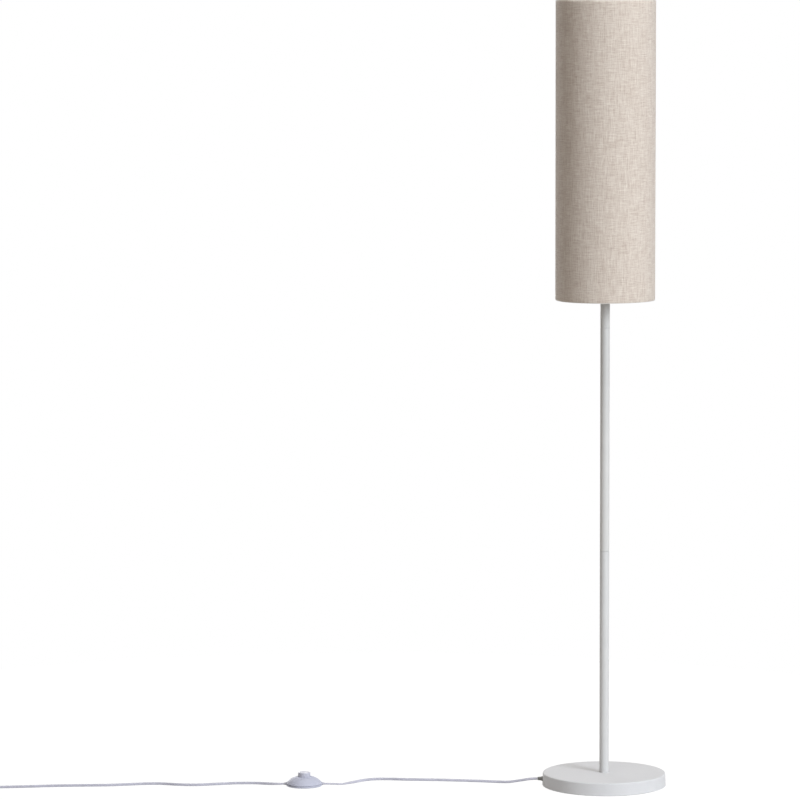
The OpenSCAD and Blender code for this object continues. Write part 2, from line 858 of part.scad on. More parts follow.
module shade_ring() {
    bore_d = thread_d + 0.2;
    color("whitesmoke")
    translate([0, 0, shoulder_z + fitter_t])
        difference() {
            union() {
                cylinder(r = ring_nut_flange_r, h = ring_nut_flange_t);
                cylinder(r = ring_nut_r, h = ring_nut_h);
                around(grip_count)
                    translate([ring_nut_r, 0, ring_nut_flange_t / 2])
                        cylinder(r = grip_r, h = ring_nut_h - ring_nut_flange_t / 2 - 0.5, $fn = 16);
            }
            translate([0, 0, -over]) cylinder(d = bore_d, h = ring_nut_h + 2 * over);
        }
}

// The two cores of the lead, from the end of its sheath to the terminals.
module inner_cores() {
    color("sienna")
    for (side = [-1, 1])
        sweep(
            smooth([
                [side * core_d * 0.6, 0, sheath_end_z + core_gap], [side * core_d, -0.5, sheath_end_z + 3],
                [side * terminal_x * 0.8, -1.8, insert_z - 5], [side * terminal_x, -1.9, insert_z - 1.5],
                [side * terminal_x, -1.9, insert_z + terminal_size[2] - 3]
            ], 3),
            core_d / 2 - 0.1, 8, [0, 1, 0]
        );
}

// ---- Shade and its carrier ----

module carrier_plate() {
    color("white")
    translate([0, 0, shoulder_z]) tube(fitter_d, fitter_bore, fitter_t);
}

// Each arm is a wire that runs out under the plate, bends, and goes down to the bottom ring.
module carrier_arms() {
    flat_len = leg_r - arm_bend_r - arm_start_r;
    leg_len = arm_z - arm_bend_r - shade_z - ring_inset_z + wire_r;
    color("white")
    around(arm_count, arm_phase)
        union() {
            translate([arm_start_r, 0, arm_z]) rod_x(wire_d, flat_len);
            translate([leg_r - arm_bend_r, 0, arm_z - arm_bend_r]) rotate([90, 0, 0])
                rotate_extrude(angle = 90) translate([arm_bend_r, 0]) circle(r = wire_r);
            translate([leg_r, 0, arm_z - arm_bend_r - leg_len]) cylinder(r = wire_r, h = leg_len);
        }
}

module wire_ring(z) {
    translate([0, 0, z]) rotate_extrude() translate([ring_r, 0]) circle(r = wire_r);
}

module bottom_ring() {
    color("white") wire_ring(shade_z + ring_inset_z);
}

module top_ring() {
    color("white") wire_ring(shade_z + shade_h - ring_inset_z);
}

module shade_liner() {
    color("white")
    translate([0, 0, shade_z]) tube(2 * liner_r, 2 * liner_in_r, shade_h);
}

// The linen, with its two ends glued one over the other down the back.
module shade_fabric() {
    color("#cfc3b4")
    translate([0, 0, shade_z]) {
        tube(shade_d, 2 * liner_r, shade_h);
        intersection() {
            tube(shade_d + 2 * cloth_t, shade_d - cloth_t, shade_h);
            translate([-seam_w / 2, 0, 0]) cube([seam_w, shade_d, shade_h]);
        }
    }
}

// ---- Bulb ----

// Half an outline of the neck's arc, from its foot to its rim, drawn in by a wall.
module neck_outline(wall) {
    difference() {
        translate([0, neck_z]) square([rim_r, rim_z - neck_z]);
        translate([neck_arc_x, neck_z]) circle(neck_arc_r + wall, $fn = 256);
    }
}

module bulb_tip() {
    color("silver")
    translate([0, 0, bulb_z])
        rotate_extrude()
            intersection() {
                translate([0, tip_d]) circle(tip_d);
                square([tip_d / 2, tip_h]);
            }
}

module bulb_insulator() {
    color("#282828")
    translate([0, 0, bulb_z + tip_h])
        cylinder(d1 = tip_d + 2, d2 = insulator_top_d, h = insulator_h);
}

module bulb_screw_shell() {
    r = screw_d / 2;
    top_z = bulb_z + tip_h + insulator_h;
    color("silver")
    rotate_extrude()
        polygon([
            [insulator_top_d / 2 - 1, top_z], [r - 1, top_z], [r, top_z + 1], [r, shell_top_z],
            [r - shell_wall, shell_top_z], [r - shell_wall, top_z + shell_wall],
            [insulator_top_d / 2 - 1, top_z + shell_wall]
        ]);
}

module bulb_housing() {
    spigot_r = screw_d / 2 - shell_wall - press_gap;
    spigot_h = 3;
    color("white")
    union() {
        rotate_extrude()
            difference() {
                neck_outline(0);
                neck_outline(bulb_wall);
                translate([0, rim_z - 1]) square([rim_r - bulb_wall, 2]);
            }
        translate([0, 0, neck_z - spigot_h])
            tube(2 * spigot_r, 2 * (spigot_r - bulb_wall), spigot_h + bulb_wall);
        translate([0, 0, neck_z]) tube(2 * neck_r - 0.5, 2 * (spigot_r - bulb_wall), bulb_wall);
    }
}

module bulb_board() {
    board_r = rim_r - bulb_wall - 3;
    color("white")
    translate([0, 0, board_z]) {
        cylinder(r = board_r, h = board_t);
        around(led_count)
            translate([board_r * 0.65, 0, board_t / 2]) block([led_w, led_w, board_t / 2 + led_t]);
    }
}

module bulb_dome() {
    color("ivory")
    difference() {
        intersection() {
            translate([0, 0, dome_z]) sphere(dome_r, $fn = 128);
            translate([0, 0, rim_z]) cylinder(r = dome_r + over, h = 2 * dome_r);
        }
        translate([0, 0, dome_z]) sphere(dome_r - bulb_wall, $fn = 128);
    }
}

// ---- Foot switch ----

module at_switch() {
    translate([switch_x, switch_y, 0]) children();
}

// Holes for the lead's two entries, on the parting line.
module entry_holes(d) {
    translate([0, 0, split_z])
        for (turn = [0, 180])
            rotate([0, 0, turn])
                translate([switch_r - 4 * switch_wall, 0, 0]) rod_x(d, 5 * switch_wall);
}

module switch_tray() {
    lip_r = switch_r - switch_wall - lip_gap;
    lip_low_z = split_z - lip_t;
    color("#bcbcca")
    at_switch()
        difference() {
            union() {
                difference() {
                    translate([0, 0, split_z]) mirror([0, 0, 1])
                        rotate_extrude()
                            disc_outline(switch_r, switch_r - tray_lean, 0, split_z - tray_z, tray_edge_r);
                    translate([0, 0, tray_floor_z]) cylinder(r = lip_r - lip_t, h = split_z);
                }
                translate([0, 0, lip_low_z])
                    tube(2 * lip_r, 2 * (lip_r - lip_t), split_z + lip_h - lip_low_z);
                around(3, 90)
                    translate([post_circle_r, 0, tray_floor_z - fuse])
                        cylinder(d = post_d + 1.5, h = post_z - tray_floor_z + fuse);
            }
            around(3, 90) translate([post_circle_r, 0, 0]) {
                cylinder(d = counterbore_d, h = tray_z + counterbore_h);
                cylinder(d = pilot_d + 0.7, h = split_z);
            }
            around(3, 30)
                translate([foot_circle_r, 0, 0]) cylinder(d = foot_d + 0.2, h = tray_z + foot_recess);
            entry_holes(relief_neck_d);
        }
}

// The dome, drawn in by a wall and drawn down by a drop.
module dome_solid(wall = 0, drop = 0) {
    rotate_extrude()
        dome_outline(dome_flank, dome_edge_r - wall, split_z, dome_rise - wall, drop);
}

module switch_cover() {
    hole_d = button_d + 2 * slide_gap;
    color("#bcbcca")
    at_switch()
        difference() {
            union() {
                difference() {
                    dome_solid();
                    dome_solid(switch_wall, over);
                }
                intersection() {
                    dome_solid(switch_wall / 2, over);
                    union() {
                        around(3, 90) translate([post_circle_r, 0, post_z]) cylinder(d = post_d, h = dome_h);
                        translate([0, 0, collar_z]) cylinder(d = hole_d + 2 * collar_t, h = dome_h);
                    }
                }
            }
            translate([0, 0, split_z]) cylinder(d = hole_d, h = dome_h);
            around(3, 90) translate([post_circle_r, 0, 0]) cylinder(d = pilot_d, h = post_z + 7);
            entry_holes(relief_neck_d);
        }
}

// A cup with a flange that the cover's collar stops, and a stem that works the module.
module switch_button() {
    skirt_low_z = flange_top_z - flange_t;
    color("#c4c4d2")
    at_switch() {
        difference() {
            union() {
                rotate_extrude()
                    disc_outline(button_r, button_r, flange_top_z, button_top_z, button_edge_r);
                translate([0, 0, skirt_low_z]) cylinder(r = button_r + flange_w, h = flange_t);
            }
            translate([0, 0, skirt_low_z - over])
                cylinder(r = button_r - button_wall, h = button_top_z - button_wall - skirt_low_z + over);
        }
        translate([0, 0, stem_z]) cylinder(d = stem_d, h = button_top_z - button_wall - stem_z + 0.5);
    }
}

// A compression spring between the module and the button's roof.
module switch_spring() {
    low_z = module_top_z + spring_wire / 2 + spring_end_gap;
    high_z = button_top_z - button_wall - spring_wire / 2 - spring_end_gap;
    steps = 14;
    r = spring_d / 2;
    color("silver")
    at_switch()
        sweep(
            [for (i = [0 : spring_turns * steps])
                [r * cos(i * 360 / steps), r * sin(i * 360 / steps),
                    low_z + (high_z - low_z) * i / (spring_turns * steps)]],
            spring_wire / 2, 6
        );
}

module switch_module() {
    color("#404044")
    at_switch()
        difference() {
            union() {
                translate([0, 0, tray_floor_z])
                    block([module_size[0], module_size[1], module_top_z - tray_floor_z]);
                translate([0, 0, module_top_z]) cylinder(d = spring_boss_d, h = spring_boss_h);
            }
            translate([0, 0, stem_well_z]) cylinder(d = module_bore_d, h = module_top_z);
        }
}

// Brass blocks that take the lead's cores, each with two screws.
module switch_terminals() {
    color("gold")
    at_switch()
        around(2)
            translate([block_x + block_size[0] / 2, 0, tray_floor_z])
                difference() {
                    union() {
                        block(block_size);
                        for (side = [-1, 1])
                            translate([0, side * block_size[1] / 4, block_size[2]])
                                cylinder(d = block_screw_d, h = 0.8);
                    }
                    for (side = [-1, 1])
                        translate([-block_size[0], side * block_size[1] / 4, block_size[2] + 0.4])
                            translate([0, -0.3, 0]) cube([2 * block_size[0], 0.6, over]);
                }
}

module switch_screws() {
    color("silver")
    at_switch()
        around(3, 90)
            translate([post_circle_r, 0, tray_z + counterbore_h - screw_head_t])
                pan_screw(pilot_d - 0.1, screw_head_d, screw_head_t, switch_screw_len);
}

module switch_feet() {
    color("#303030")
    at_switch()
        around(3, 30)
            translate([foot_circle_r, 0, 0]) cylinder(d = foot_d, h = tray_z + foot_recess);
}

// Rubber reliefs, trapped between tray and cover where the lead goes in.
module switch_reliefs() {
    wall_x = switch_r - switch_wall - lip_gap - lip_t;
    color("#8a8a92")
    at_switch()
        around(2)
            intersection() {
                translate([0, 0, split_z])
                    difference() {
                        union() {
                            translate([wall_x - relief_flange_t, 0, 0])
                                rod_x(relief_neck_d + 2, relief_flange_t - relief_gap);
                            translate([wall_x - relief_flange_t, 0, 0])
                                rod_x(relief_neck_d - 0.1, switch_r - wall_x + relief_flange_t + 0.5);
                            translate([switch_r + 0.1, 0, 0])
                                cone_x(relief_root_d, relief_tip_d, relief_out - 0.1);
                        }
                        translate([wall_x - 2 * relief_flange_t, 0, 0]) rod_x(relief_bore, switch_r);
                    }
                union() {
                    translate([0, -switch_r / 2, tray_floor_z + 0.1]) cube([switch_r - 1, switch_r, dome_h]);
                    translate([switch_r - 1.5, -switch_r / 2, 0]) cube([switch_r, switch_r, dome_h]);
                }
            }
}

// The lead's two ends in the switch: sheath, then bare cores into the terminals.
module switch_cord_ends() {
    core_start = block_x + block_size[0];
    color("gainsboro")
    at_switch()
        around(2)
            translate([0, 0, split_z]) {
                translate([sheath_end_x, 0, 0]) rod_x(cord_d, relief_end_x - sheath_end_x);
                for (side = [-1, 1])
                    translate([core_start, side * 1.35, 0]) rod_x(core_d, sheath_end_x - core_start + 1);
            }
}

// ---- Lead and plug ----

module cord_to_switch() {
    color("gainsboro")
    sweep(smooth(route_to_switch, ring_step), cord_r, cord_sides);
}

module cord_to_plug() {
    color("gainsboro") {
        sweep(smooth(route_to_coil, ring_step), cord_r, cord_sides);
        sweep(route_to_plug, cord_r, cord_sides);
    }
}

// Outer shape of the wound coil: two turns side by side, and two more on top.
module cord_coil() {
    corner = cord_r;
    in_r = coil_d / 2 - bundle_w / 2;
    color("gainsboro")
    translate([coil_x, coil_y, 0])
        rotate_extrude() {
            translate([in_r + corner, tie_t]) square([bundle_w - 2 * corner, bundle_w]);
            translate([in_r, tie_t + corner]) square([bundle_w, bundle_w - 2 * corner]);
            for (x = [corner, bundle_w - corner], z = [corner, bundle_w - corner])
                translate([in_r + x, tie_t + z]) circle(corner);
        }
}

// A band round the coil's turns.
module coil_tie() {
    size = bundle_w + 2 * tie_t;
    color("dimgray")
    translate([coil_x, coil_y, 0])
        rotate([0, 0, tie_angle])
            translate([coil_d / 2, 0, 0])
                difference() {
                    block([size + 1, tie_w, size]);
                    translate([0, 0, tie_t]) block([bundle_w + 1, tie_w + 2 * over, bundle_w]);
                }
}

// Flat plug, lying down. Its sides come to an edge, and it narrows to the tapered tail.
module plug_body() {
    w = plug_w / 2;
    t = plug_t / 2;
    side_cut = t * 0.67;
    shoulder = plug_len * 0.45;
    tail_r = 4.6;
    color("gainsboro")
    translate([plug_tail_x, plug_face_y, t])
        difference() {
            union() {
                intersection() {
                    rotate([90, 0, 0])
                        linear_extrude(plug_len)
                            polygon([
                                [-w, 0], [-w + side_cut, t], [w - side_cut, t],
                                [w, 0], [w - side_cut, -t], [-w + side_cut, -t]
                            ]);
                    translate([0, 0, -t])
                        linear_extrude(plug_t)
                            polygon([
                                [-w + 1, 0], [w - 1, 0], [w, -1], [w, -shoulder], [w - 2.5, -shoulder - 7],
                                [tail_r + 2, -plug_len], [-tail_r - 2, -plug_len],
                                [-w + 2.5, -shoulder - 7], [-w, -shoulder], [-w, -1]
                            ]);
                }
                translate([0, -plug_len, 0]) rotate([90, 0, 0])
                    cylinder(r1 = tail_r + 0.6, r2 = cord_r + 0.5, h = plug_tail_len);
            }
            for (i = [1 : 4])
                translate([0, -plug_len - i * 4, 0]) rotate([90, 0, 0])
                    tube(plug_t, cord_d + 0.8, 1.2);
        }
}

module plug_pins() {
    color("silver")
    for (side = [-1, 1])
        translate([plug_tail_x + side * pin_pitch / 2, plug_face_y, plug_t / 2])
            rotate([-90, 0, 0]) {
                cylinder(d = pin_d, h = pin_len - pin_d / 2);
                translate([0, 0, pin_len - pin_d / 2]) sphere(d = pin_d);
            }
}

// ---- Drawing ----

base_cover();
base_weight();
base_pad();
base_washer();
base_lock_washer();
base_nut();
base_nipple();
cord_bushing();
cord_clamp();
clamp_screws();
inner_cord();
inner_cores();
lower_tube();
upper_tube();
top_tube();
tube_inserts();
tube_nipples();
holder_nipple();
holder_cap();
cap_grub_screw();
holder_skirt();
holder_insert();
holder_terminals();
terminal_screws();
holder_contact();
holder_sleeve();
shade_ring();
carrier_plate();
carrier_arms();
bottom_ring();
top_ring();
shade_liner();
shade_fabric();
bulb_tip();
bulb_insulator();
bulb_screw_shell();
bulb_housing();
bulb_board();
bulb_dome();
switch_tray();
switch_cover();
switch_button();
switch_spring();
switch_module();
switch_terminals();
switch_screws();
switch_feet();
switch_reliefs();
switch_cord_ends();
cord_to_switch();
cord_to_plug();
cord_coil();
coil_tie();
plug_body();
plug_pins();
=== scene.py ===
"""Column floor lamp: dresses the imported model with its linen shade, powder-coated pole and base,
flat lead with foot switch, coil and plug, and sets the camera and the studio. Meshes and settings
are in metres. The sizes written for the lead, plug, band, foot switch and pole are in millimetres."""

import functools
import itertools
import math
import random

import bmesh
import bpy
from mathutils import Matrix, Vector


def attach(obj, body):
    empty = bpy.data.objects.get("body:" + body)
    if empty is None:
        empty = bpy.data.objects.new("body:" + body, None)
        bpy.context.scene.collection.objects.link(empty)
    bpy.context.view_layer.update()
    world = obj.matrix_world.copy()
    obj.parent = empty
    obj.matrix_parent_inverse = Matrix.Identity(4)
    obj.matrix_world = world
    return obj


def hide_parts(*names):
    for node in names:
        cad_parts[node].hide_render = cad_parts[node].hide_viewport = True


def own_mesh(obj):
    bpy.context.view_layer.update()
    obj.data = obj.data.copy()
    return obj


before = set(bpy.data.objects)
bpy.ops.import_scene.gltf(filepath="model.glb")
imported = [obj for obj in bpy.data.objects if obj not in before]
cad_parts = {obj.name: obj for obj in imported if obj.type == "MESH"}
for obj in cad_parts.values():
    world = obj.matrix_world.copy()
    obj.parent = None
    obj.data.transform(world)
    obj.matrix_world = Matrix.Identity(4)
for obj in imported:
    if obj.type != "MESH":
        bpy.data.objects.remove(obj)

bpy.context.view_layer.update()

bl_info = {
    "name": "Column Floor Lamp",
    "version": (1, 0, 0),
    "blender": (4, 5, 0),
    "location": "View3D > Sidebar > Floor Lamp",
    "description": "Makes a floor lamp's linen shade, painted pole and base, and its lead with a foot switch",
    "category": "Object",
}

MM = 0.001
UP = Vector((0, 0, 1))


# ---- Settings ----


def length(name, description, default):
    return bpy.props.FloatProperty(name=name, description=description, default=default, unit="LENGTH")


def power(name, description, default):
    return bpy.props.FloatProperty(name=name, description=description, default=default, unit="POWER")


def tint(name, description, default):
    return bpy.props.FloatVectorProperty(
        name=name, description=description, default=default, subtype="COLOR", size=3)


class LeadSettings(bpy.types.PropertyGroup):
    width: length("Width", "Wide side of the flat two-core lead", 5.4 * MM)
    thickness: length("Thickness", "Narrow side of the flat lead", 3.4 * MM)
    ring_step: length("Ring Step", "Distance between the rings of the lead's mesh", 4 * MM)
    colour: tint("Sheath Colour", "Colour of the lead's sheath", (0.535, 0.535, 0.625))


class ShadeSettings(bpy.types.PropertyGroup):
    cloth_thickness: length("Cloth Thickness", "Thickness of the linen", 0.55 * MM)
    yarn_pitch: length("Yarn Pitch", "Distance between two yarns of the weave", 0.85 * MM)
    seam_width: length("Seam Width", "Overlap of the cloth at the back", 12 * MM)
    hem_height: length("Hem Height", "Cloth turned in behind each ring", 11 * MM)
    colour: tint("Linen Colour", "Middle colour of the linen", (0.9, 0.773, 0.692))


class PaintSettings(bpy.types.PropertyGroup):
    cover_colour: tint("Base Paint", "Powder coat of the base", (0.715, 0.72, 0.735))
    # Painted light: the upper tubes' paint is lighter than the lower tube's to make up for the shade's shadow
    # on them; the lower tube's slightly cooler tone is its own paint.
    tube_colour: tint("Pole Paint", "Powder coat of the pole's upper tubes", (0.755, 0.757, 0.745))
    lower_colour: tint(
        "Lower Pole Paint", "Powder coat of the lower tube, from another batch", (0.722, 0.728, 0.724))
    joint_round: length("Joint Rounding", "Rounding of the pole's tubes where they meet", 0.3 * MM)
    joint_gap: length("Joint Gap", "Hairline between two tubes of the pole", 0.36 * MM)
    sides: bpy.props.IntProperty(
        name="Round Sides", description="Sides of a turned piece", default=128, min=24, max=512)


class SwitchSettings(bpy.types.PropertyGroup):
    colour: tint("Housing Colour", "Moulded housing of the foot switch", (0.53, 0.548, 0.655))
    relief_colour: tint("Relief Colour", "Rubber where the lead enters the housing", (0.5, 0.5, 0.58))
    button_colour: tint("Button Colour", "Push button of the foot switch", (0.57, 0.58, 0.67))


class PlugSettings(bpy.types.PropertyGroup):
    ribs: bpy.props.IntProperty(
        name="Grip Ribs", description="Ribs on each broad face of the plug", default=5, min=1, max=12)
    rib_pitch: length("Rib Pitch", "Distance between two grip ribs", 2.6 * MM)
    band_width: length("Band Width", "Width of the band round the coil", 9 * MM)
    colour: tint("Plug Colour", "Soft plastic moulded on the lead's end", (0.5, 0.51, 0.58))


class StageSettings(bpy.types.PropertyGroup):
    key_power: power("Key Light", "Power of the large soft light at the front right", 606.0)
    key_width: length("Key Width", "Width of the key light's tall face", 3.4)
    key_height: length("Key Height", "Height of the key light's tall face", 4.4)
    top_power: power("Top Light", "Power of the wide soft light overhead", 139.0)
    top_size: length("Top Size", "Width of the overhead light's square face", 3.5)
    back_power: power("Back Light", "Power of the soft light behind the lamp", 128.0)
    sky: bpy.props.FloatProperty(
        name="Sky", description="Strength of the even light from all round", default=0.12, min=0, max=2)


SETTINGS = {
    "lamp_lead": LeadSettings, "lamp_shade": ShadeSettings, "lamp_paint": PaintSettings,
    "lamp_switch": SwitchSettings, "lamp_plug": PlugSettings, "lamp_stage": StageSettings,
}


# ---- Material nodes ----


class Nodes:
    """A node tree under way, with short calls that add its nodes."""

    prefix = "ShaderNode"

    def __init__(self, tree):
        self.tree = tree

    def node(self, kind, inputs=None, prefix=None, **settings):
        """Adds a node. An input is another node's socket, which is linked, or a plain value."""
        made = self.tree.nodes.new((prefix or self.prefix) + kind)
        for key, value in settings.items():
            setattr(made, key, value)
        for key, value in (inputs or {}).items():
            if isinstance(value, bpy.types.NodeSocket):
                self.tree.links.new(value, made.inputs[key])
            else:
                made.inputs[key].default_value = value
        return made

    def math(self, operation, *values):
        inputs = dict(enumerate(values))
        return self.node("Math", inputs, "ShaderNode", operation=operation).outputs[0]

    def vector(self, x=0.0, y=0.0, z=0.0):
        return self.node("CombineXYZ", {0: x, 1: y, 2: z}, "ShaderNode").outputs[0]

    def split(self, vector):
        return self.node("SeparateXYZ", {0: vector}, "ShaderNode").outputs


class Finish(Nodes):
    """A material under way. Its shader's plain values are given at the start, its linked ones at the end."""

    def __init__(self, name, **shader):
        self.material = bpy.data.materials.new(name)
        self.material.use_nodes = True
        super().__init__(self.material.node_tree)
        self.shader = self.tree.nodes["Principled BSDF"]
        for key, value in shader.items():
            self.shader.inputs[key.replace("_", " ")].default_value = value

    def done(self, **sockets):
        for key, value in sockets.items():
            self.tree.links.new(value, self.shader.inputs[key.replace("_", " ")])
        return self.material

    def place(self, scale=(1, 1, 1), uv=None):
        """Object coordinates, or the piece's own map, stretched by scale."""
        if uv:
            source = self.node("UVMap", uv_map=uv).outputs[0]
        else:
            source = self.node("TexCoord").outputs["Object"]
        return self.node("Mapping", {"Vector": source, "Scale": scale}).outputs[0]

    def noise(self, where, scale, detail=2.0, rough=0.5):
        inputs = {"Vector": where, "Scale": scale, "Detail": detail, "Roughness": rough}
        return self.node("TexNoise", inputs).outputs["Fac"]

    def cells(self, where, scale):
        return self.node("TexVoronoi", {"Vector": where, "Scale": scale}).outputs["Distance"]

    def spread(self, value, low, high, to_low=0.0, to_high=1.0):
        inputs = {"Value": value, "From Min": low, "From Max": high, "To Min": to_low, "To Max": to_high}
        return self.node("MapRange", inputs).outputs[0]

    def blend(self, factor, first, second):
        """A colour between two, each a colour or a socket."""
        first, second = (
            c if isinstance(c, bpy.types.NodeSocket) else (*c, 1) for c in (first, second))
        return self.node("Mix", {0: factor, 6: first, 7: second}, data_type="RGBA").outputs[2]

    def tones(self, value, low, high, colour, first, second):
        """A colour from first to second times itself, as value goes from low to high."""
        return self.blend(self.spread(value, low, high), shade_of(colour, first), shade_of(colour, second))

    def bump(self, height, distance, strength):
        inputs = {"Height": height, "Distance": distance, "Strength": strength}
        return self.node("Bump", inputs).outputs[0]


def shade_of(colour, factor):
    return tuple(min(1.0, c * factor) for c in colour)


def moulded(name, colour, roughness, grain=0.4, depth=0.03, mottle=0.04, **shader):
    """Paint, plastic or rubber: fine skin, faint patches of tone, and a roughness that wanders."""
    f = Finish(name, Roughness=roughness, **shader)
    where = f.place()
    patches = f.noise(where, 45, 3)
    skin = f.noise(where, 1 / (grain * MM), 2)
    tone = f.math("ADD", patches, f.math("MULTIPLY", skin, 0.35))
    return f.done(
        Base_Color=f.tones(tone, 0.45, 0.9, colour, 1 - mottle, 1 + mottle),
        Roughness=f.spread(patches, 0.3, 0.7, roughness * 0.9, min(1.0, roughness * 1.12)),
        Normal=f.bump(skin, depth * MM, 0.6),
    )


def turned_metal(name, colour, roughness):
    """Plated or bare metal with the faint rings of a lathe across the Z axis."""
    f = Finish(name, Metallic=1.0, Roughness=roughness)
    rings = f.noise(f.place((120, 120, 5200)), 1.0, 2)
    stain = f.noise(f.place(), 160, 4)
    return f.done(
        Base_Color=f.tones(stain, 0.35, 0.75, colour, 1.0, 0.82),
        Roughness=f.spread(stain, 0.3, 0.7, roughness * 0.8, min(1.0, roughness * 1.35)),
        Normal=f.bump(rings, 0.02 * MM, 0.5),
    )


def cast_iron(name, colour):
    f = Finish(name, Metallic=0.35, Roughness=0.72)
    lumps = f.noise(f.place(), 420, 5, 0.65)
    return f.done(
        Base_Color=f.tones(lumps, 0.3, 0.75, colour, 0.7, 1.5), Normal=f.bump(lumps, 0.5 * MM, 0.9))


def foam(name, colour):
    f = Finish(name, Roughness=0.95)
    cells = f.cells(f.place(), 1400)
    return f.done(
        Base_Color=f.tones(cells, 0.1, 0.6, colour, 0.4, 1.6), Normal=f.bump(cells, 0.3 * MM, 0.8))


def opal(name, colour):
    f = Finish(name, Roughness=0.34, Subsurface_Weight=0.35, Subsurface_Scale=0.004)
    cloud = f.noise(f.place(), 60, 3)
    skin = f.noise(f.place(), 2500, 1)
    return f.done(
        Base_Color=f.tones(cloud, 0.3, 0.7, colour, 0.97, 1.03), Normal=f.bump(skin, 0.01 * MM, 0.4))


def sheath(name, colour):
    """The lead's soft PVC: matt, with a dull line where dust clings and faint drawing marks."""
    f = Finish(name, Roughness=0.5, Sheen_Weight=0.08, Sheen_Roughness=0.5)
    drawn = f.noise(f.place((30, 1, 1), "along"), 18, 2)
    dust = f.noise(f.place(), 70, 4, 0.6)
    return f.done(
        Base_Color=f.tones(dust, 0.35, 0.75, colour, 1.04, 0.9),
        Roughness=f.spread(dust, 0.3, 0.7, 0.42, 0.6),
        Normal=f.bump(drawn, 0.04 * MM, 0.35),
    )


def linen(name, colour):
    """Plain-woven natural linen: its own map runs in metres round and up the shade. Each yarn has
    its own tone, which drifts along it, and a slub here and there."""
    f = Finish(name, Roughness=0.9, Sheen_Weight=0.5, Sheen_Roughness=0.4, Specular_IOR_Level=0.2)
    pitch = bpy.context.scene.lamp_shade.yarn_pitch
    round_way, up_way, _ = f.split(f.node("UVMap", uv_map="cloth").outputs[0])

    def yarns(across, along, seed):
        """Tone of the yarn at a place, and the wave that the yarns make across their way."""
        wander = f.noise(f.vector(along, across, seed), 34, 1)
        line = f.math("ADD", f.math("DIVIDE", across, pitch), f.math("MULTIPLY", wander, 1.6))
        number = f.math("MULTIPLY", f.math("FLOOR", line), 0.73)
        tone = f.noise(f.vector(f.math("MULTIPLY", along, 42.0), number, seed), 1.0, 3, 0.62)
        return tone, f.math("SINE", f.math("MULTIPLY", line, math.pi))

    weft_tone, weft_wave = yarns(up_way, round_way, 3.1)
    warp_tone, warp_wave = yarns(round_way, up_way, 9.7)
    crossing = f.math("MULTIPLY", weft_wave, warp_wave)
    on_top = f.spread(crossing, -0.25, 0.25)
    top_tone = f.node("Mix", {0: on_top, 2: warp_tone, 3: weft_tone}, data_type="FLOAT").outputs[0]
    both = f.math("MULTIPLY", f.math("ADD", weft_tone, warp_tone), 0.5)
    mixed = f.math("ADD", f.math("MULTIPLY", top_tone, 0.5), f.math("MULTIPLY", both, 0.5))
    dark = (colour[0] * 0.7, colour[1] * 0.66, colour[2] * 0.62)
    body = f.blend(f.spread(mixed, 0.34, 0.66), dark, shade_of(colour, 1.2))
    flecks = f.noise(f.place(uv="cloth"), 900, 1)
    body = f.blend(f.spread(flecks, 0.66, 0.78, 0, 0.5), body, shade_of(colour, 0.5))
    height = f.math("ADD", f.math("MULTIPLY", crossing, 0.5), f.math("MULTIPLY", mixed, 1.6))
    return f.done(Base_Color=body, Normal=f.bump(height, 0.4 * MM, 0.7))


def woven_band(name, colour):
    """The coil's band: fine loops in rows, dull, with grey fluff where it has been rubbed."""
    f = Finish(name, Roughness=0.95, Sheen_Weight=0.5, Sheen_Roughness=0.4)
    fluff = f.noise(f.place(), 380, 4, 0.7)
    loops = f.math("ADD", f.cells(f.place((1, 1, 0.6)), 2600), f.math("MULTIPLY", fluff, 0.4))
    return f.done(
        Base_Color=f.tones(fluff, 0.45, 0.75, colour, 0.75, 2.2), Normal=f.bump(loops, 0.2 * MM, 0.8))


def film(name, colour):
    """The shade's stiff liner, with the faint streaks that rollers leave."""
    f = Finish(name, Roughness=0.42)
    streaks = f.noise(f.place((40, 40, 6)), 6, 2)
    return f.done(
        Base_Color=f.blend(streaks, shade_of(colour, 0.97), shade_of(colour, 1.02)),
        Normal=f.bump(streaks, 0.1 * MM, 0.3),
    )


PIN_SLEEVE_END = 109.5 * MM
PIN_SLEEVE_COLOUR = (0.4, 0.4, 0.46)


def pin_metal(name, colour):
    """Plug pins: nickel at the tip, a moulded sleeve next to the plug."""
    f = Finish(name, Roughness=0.25)
    y = f.split(f.node("TexCoord").outputs["Object"])[1]
    bare = f.spread(y, PIN_SLEEVE_END - 0.2 * MM, PIN_SLEEVE_END + 0.2 * MM)
    rub = f.noise(f.place((300, 4000, 300)), 1, 2)
    return f.done(
        Base_Color=f.blend(bare, PIN_SLEEVE_COLOUR, colour),
        Metallic=bare,
        Roughness=f.spread(rub, 0.3, 0.7, 0.2, 0.36),
    )


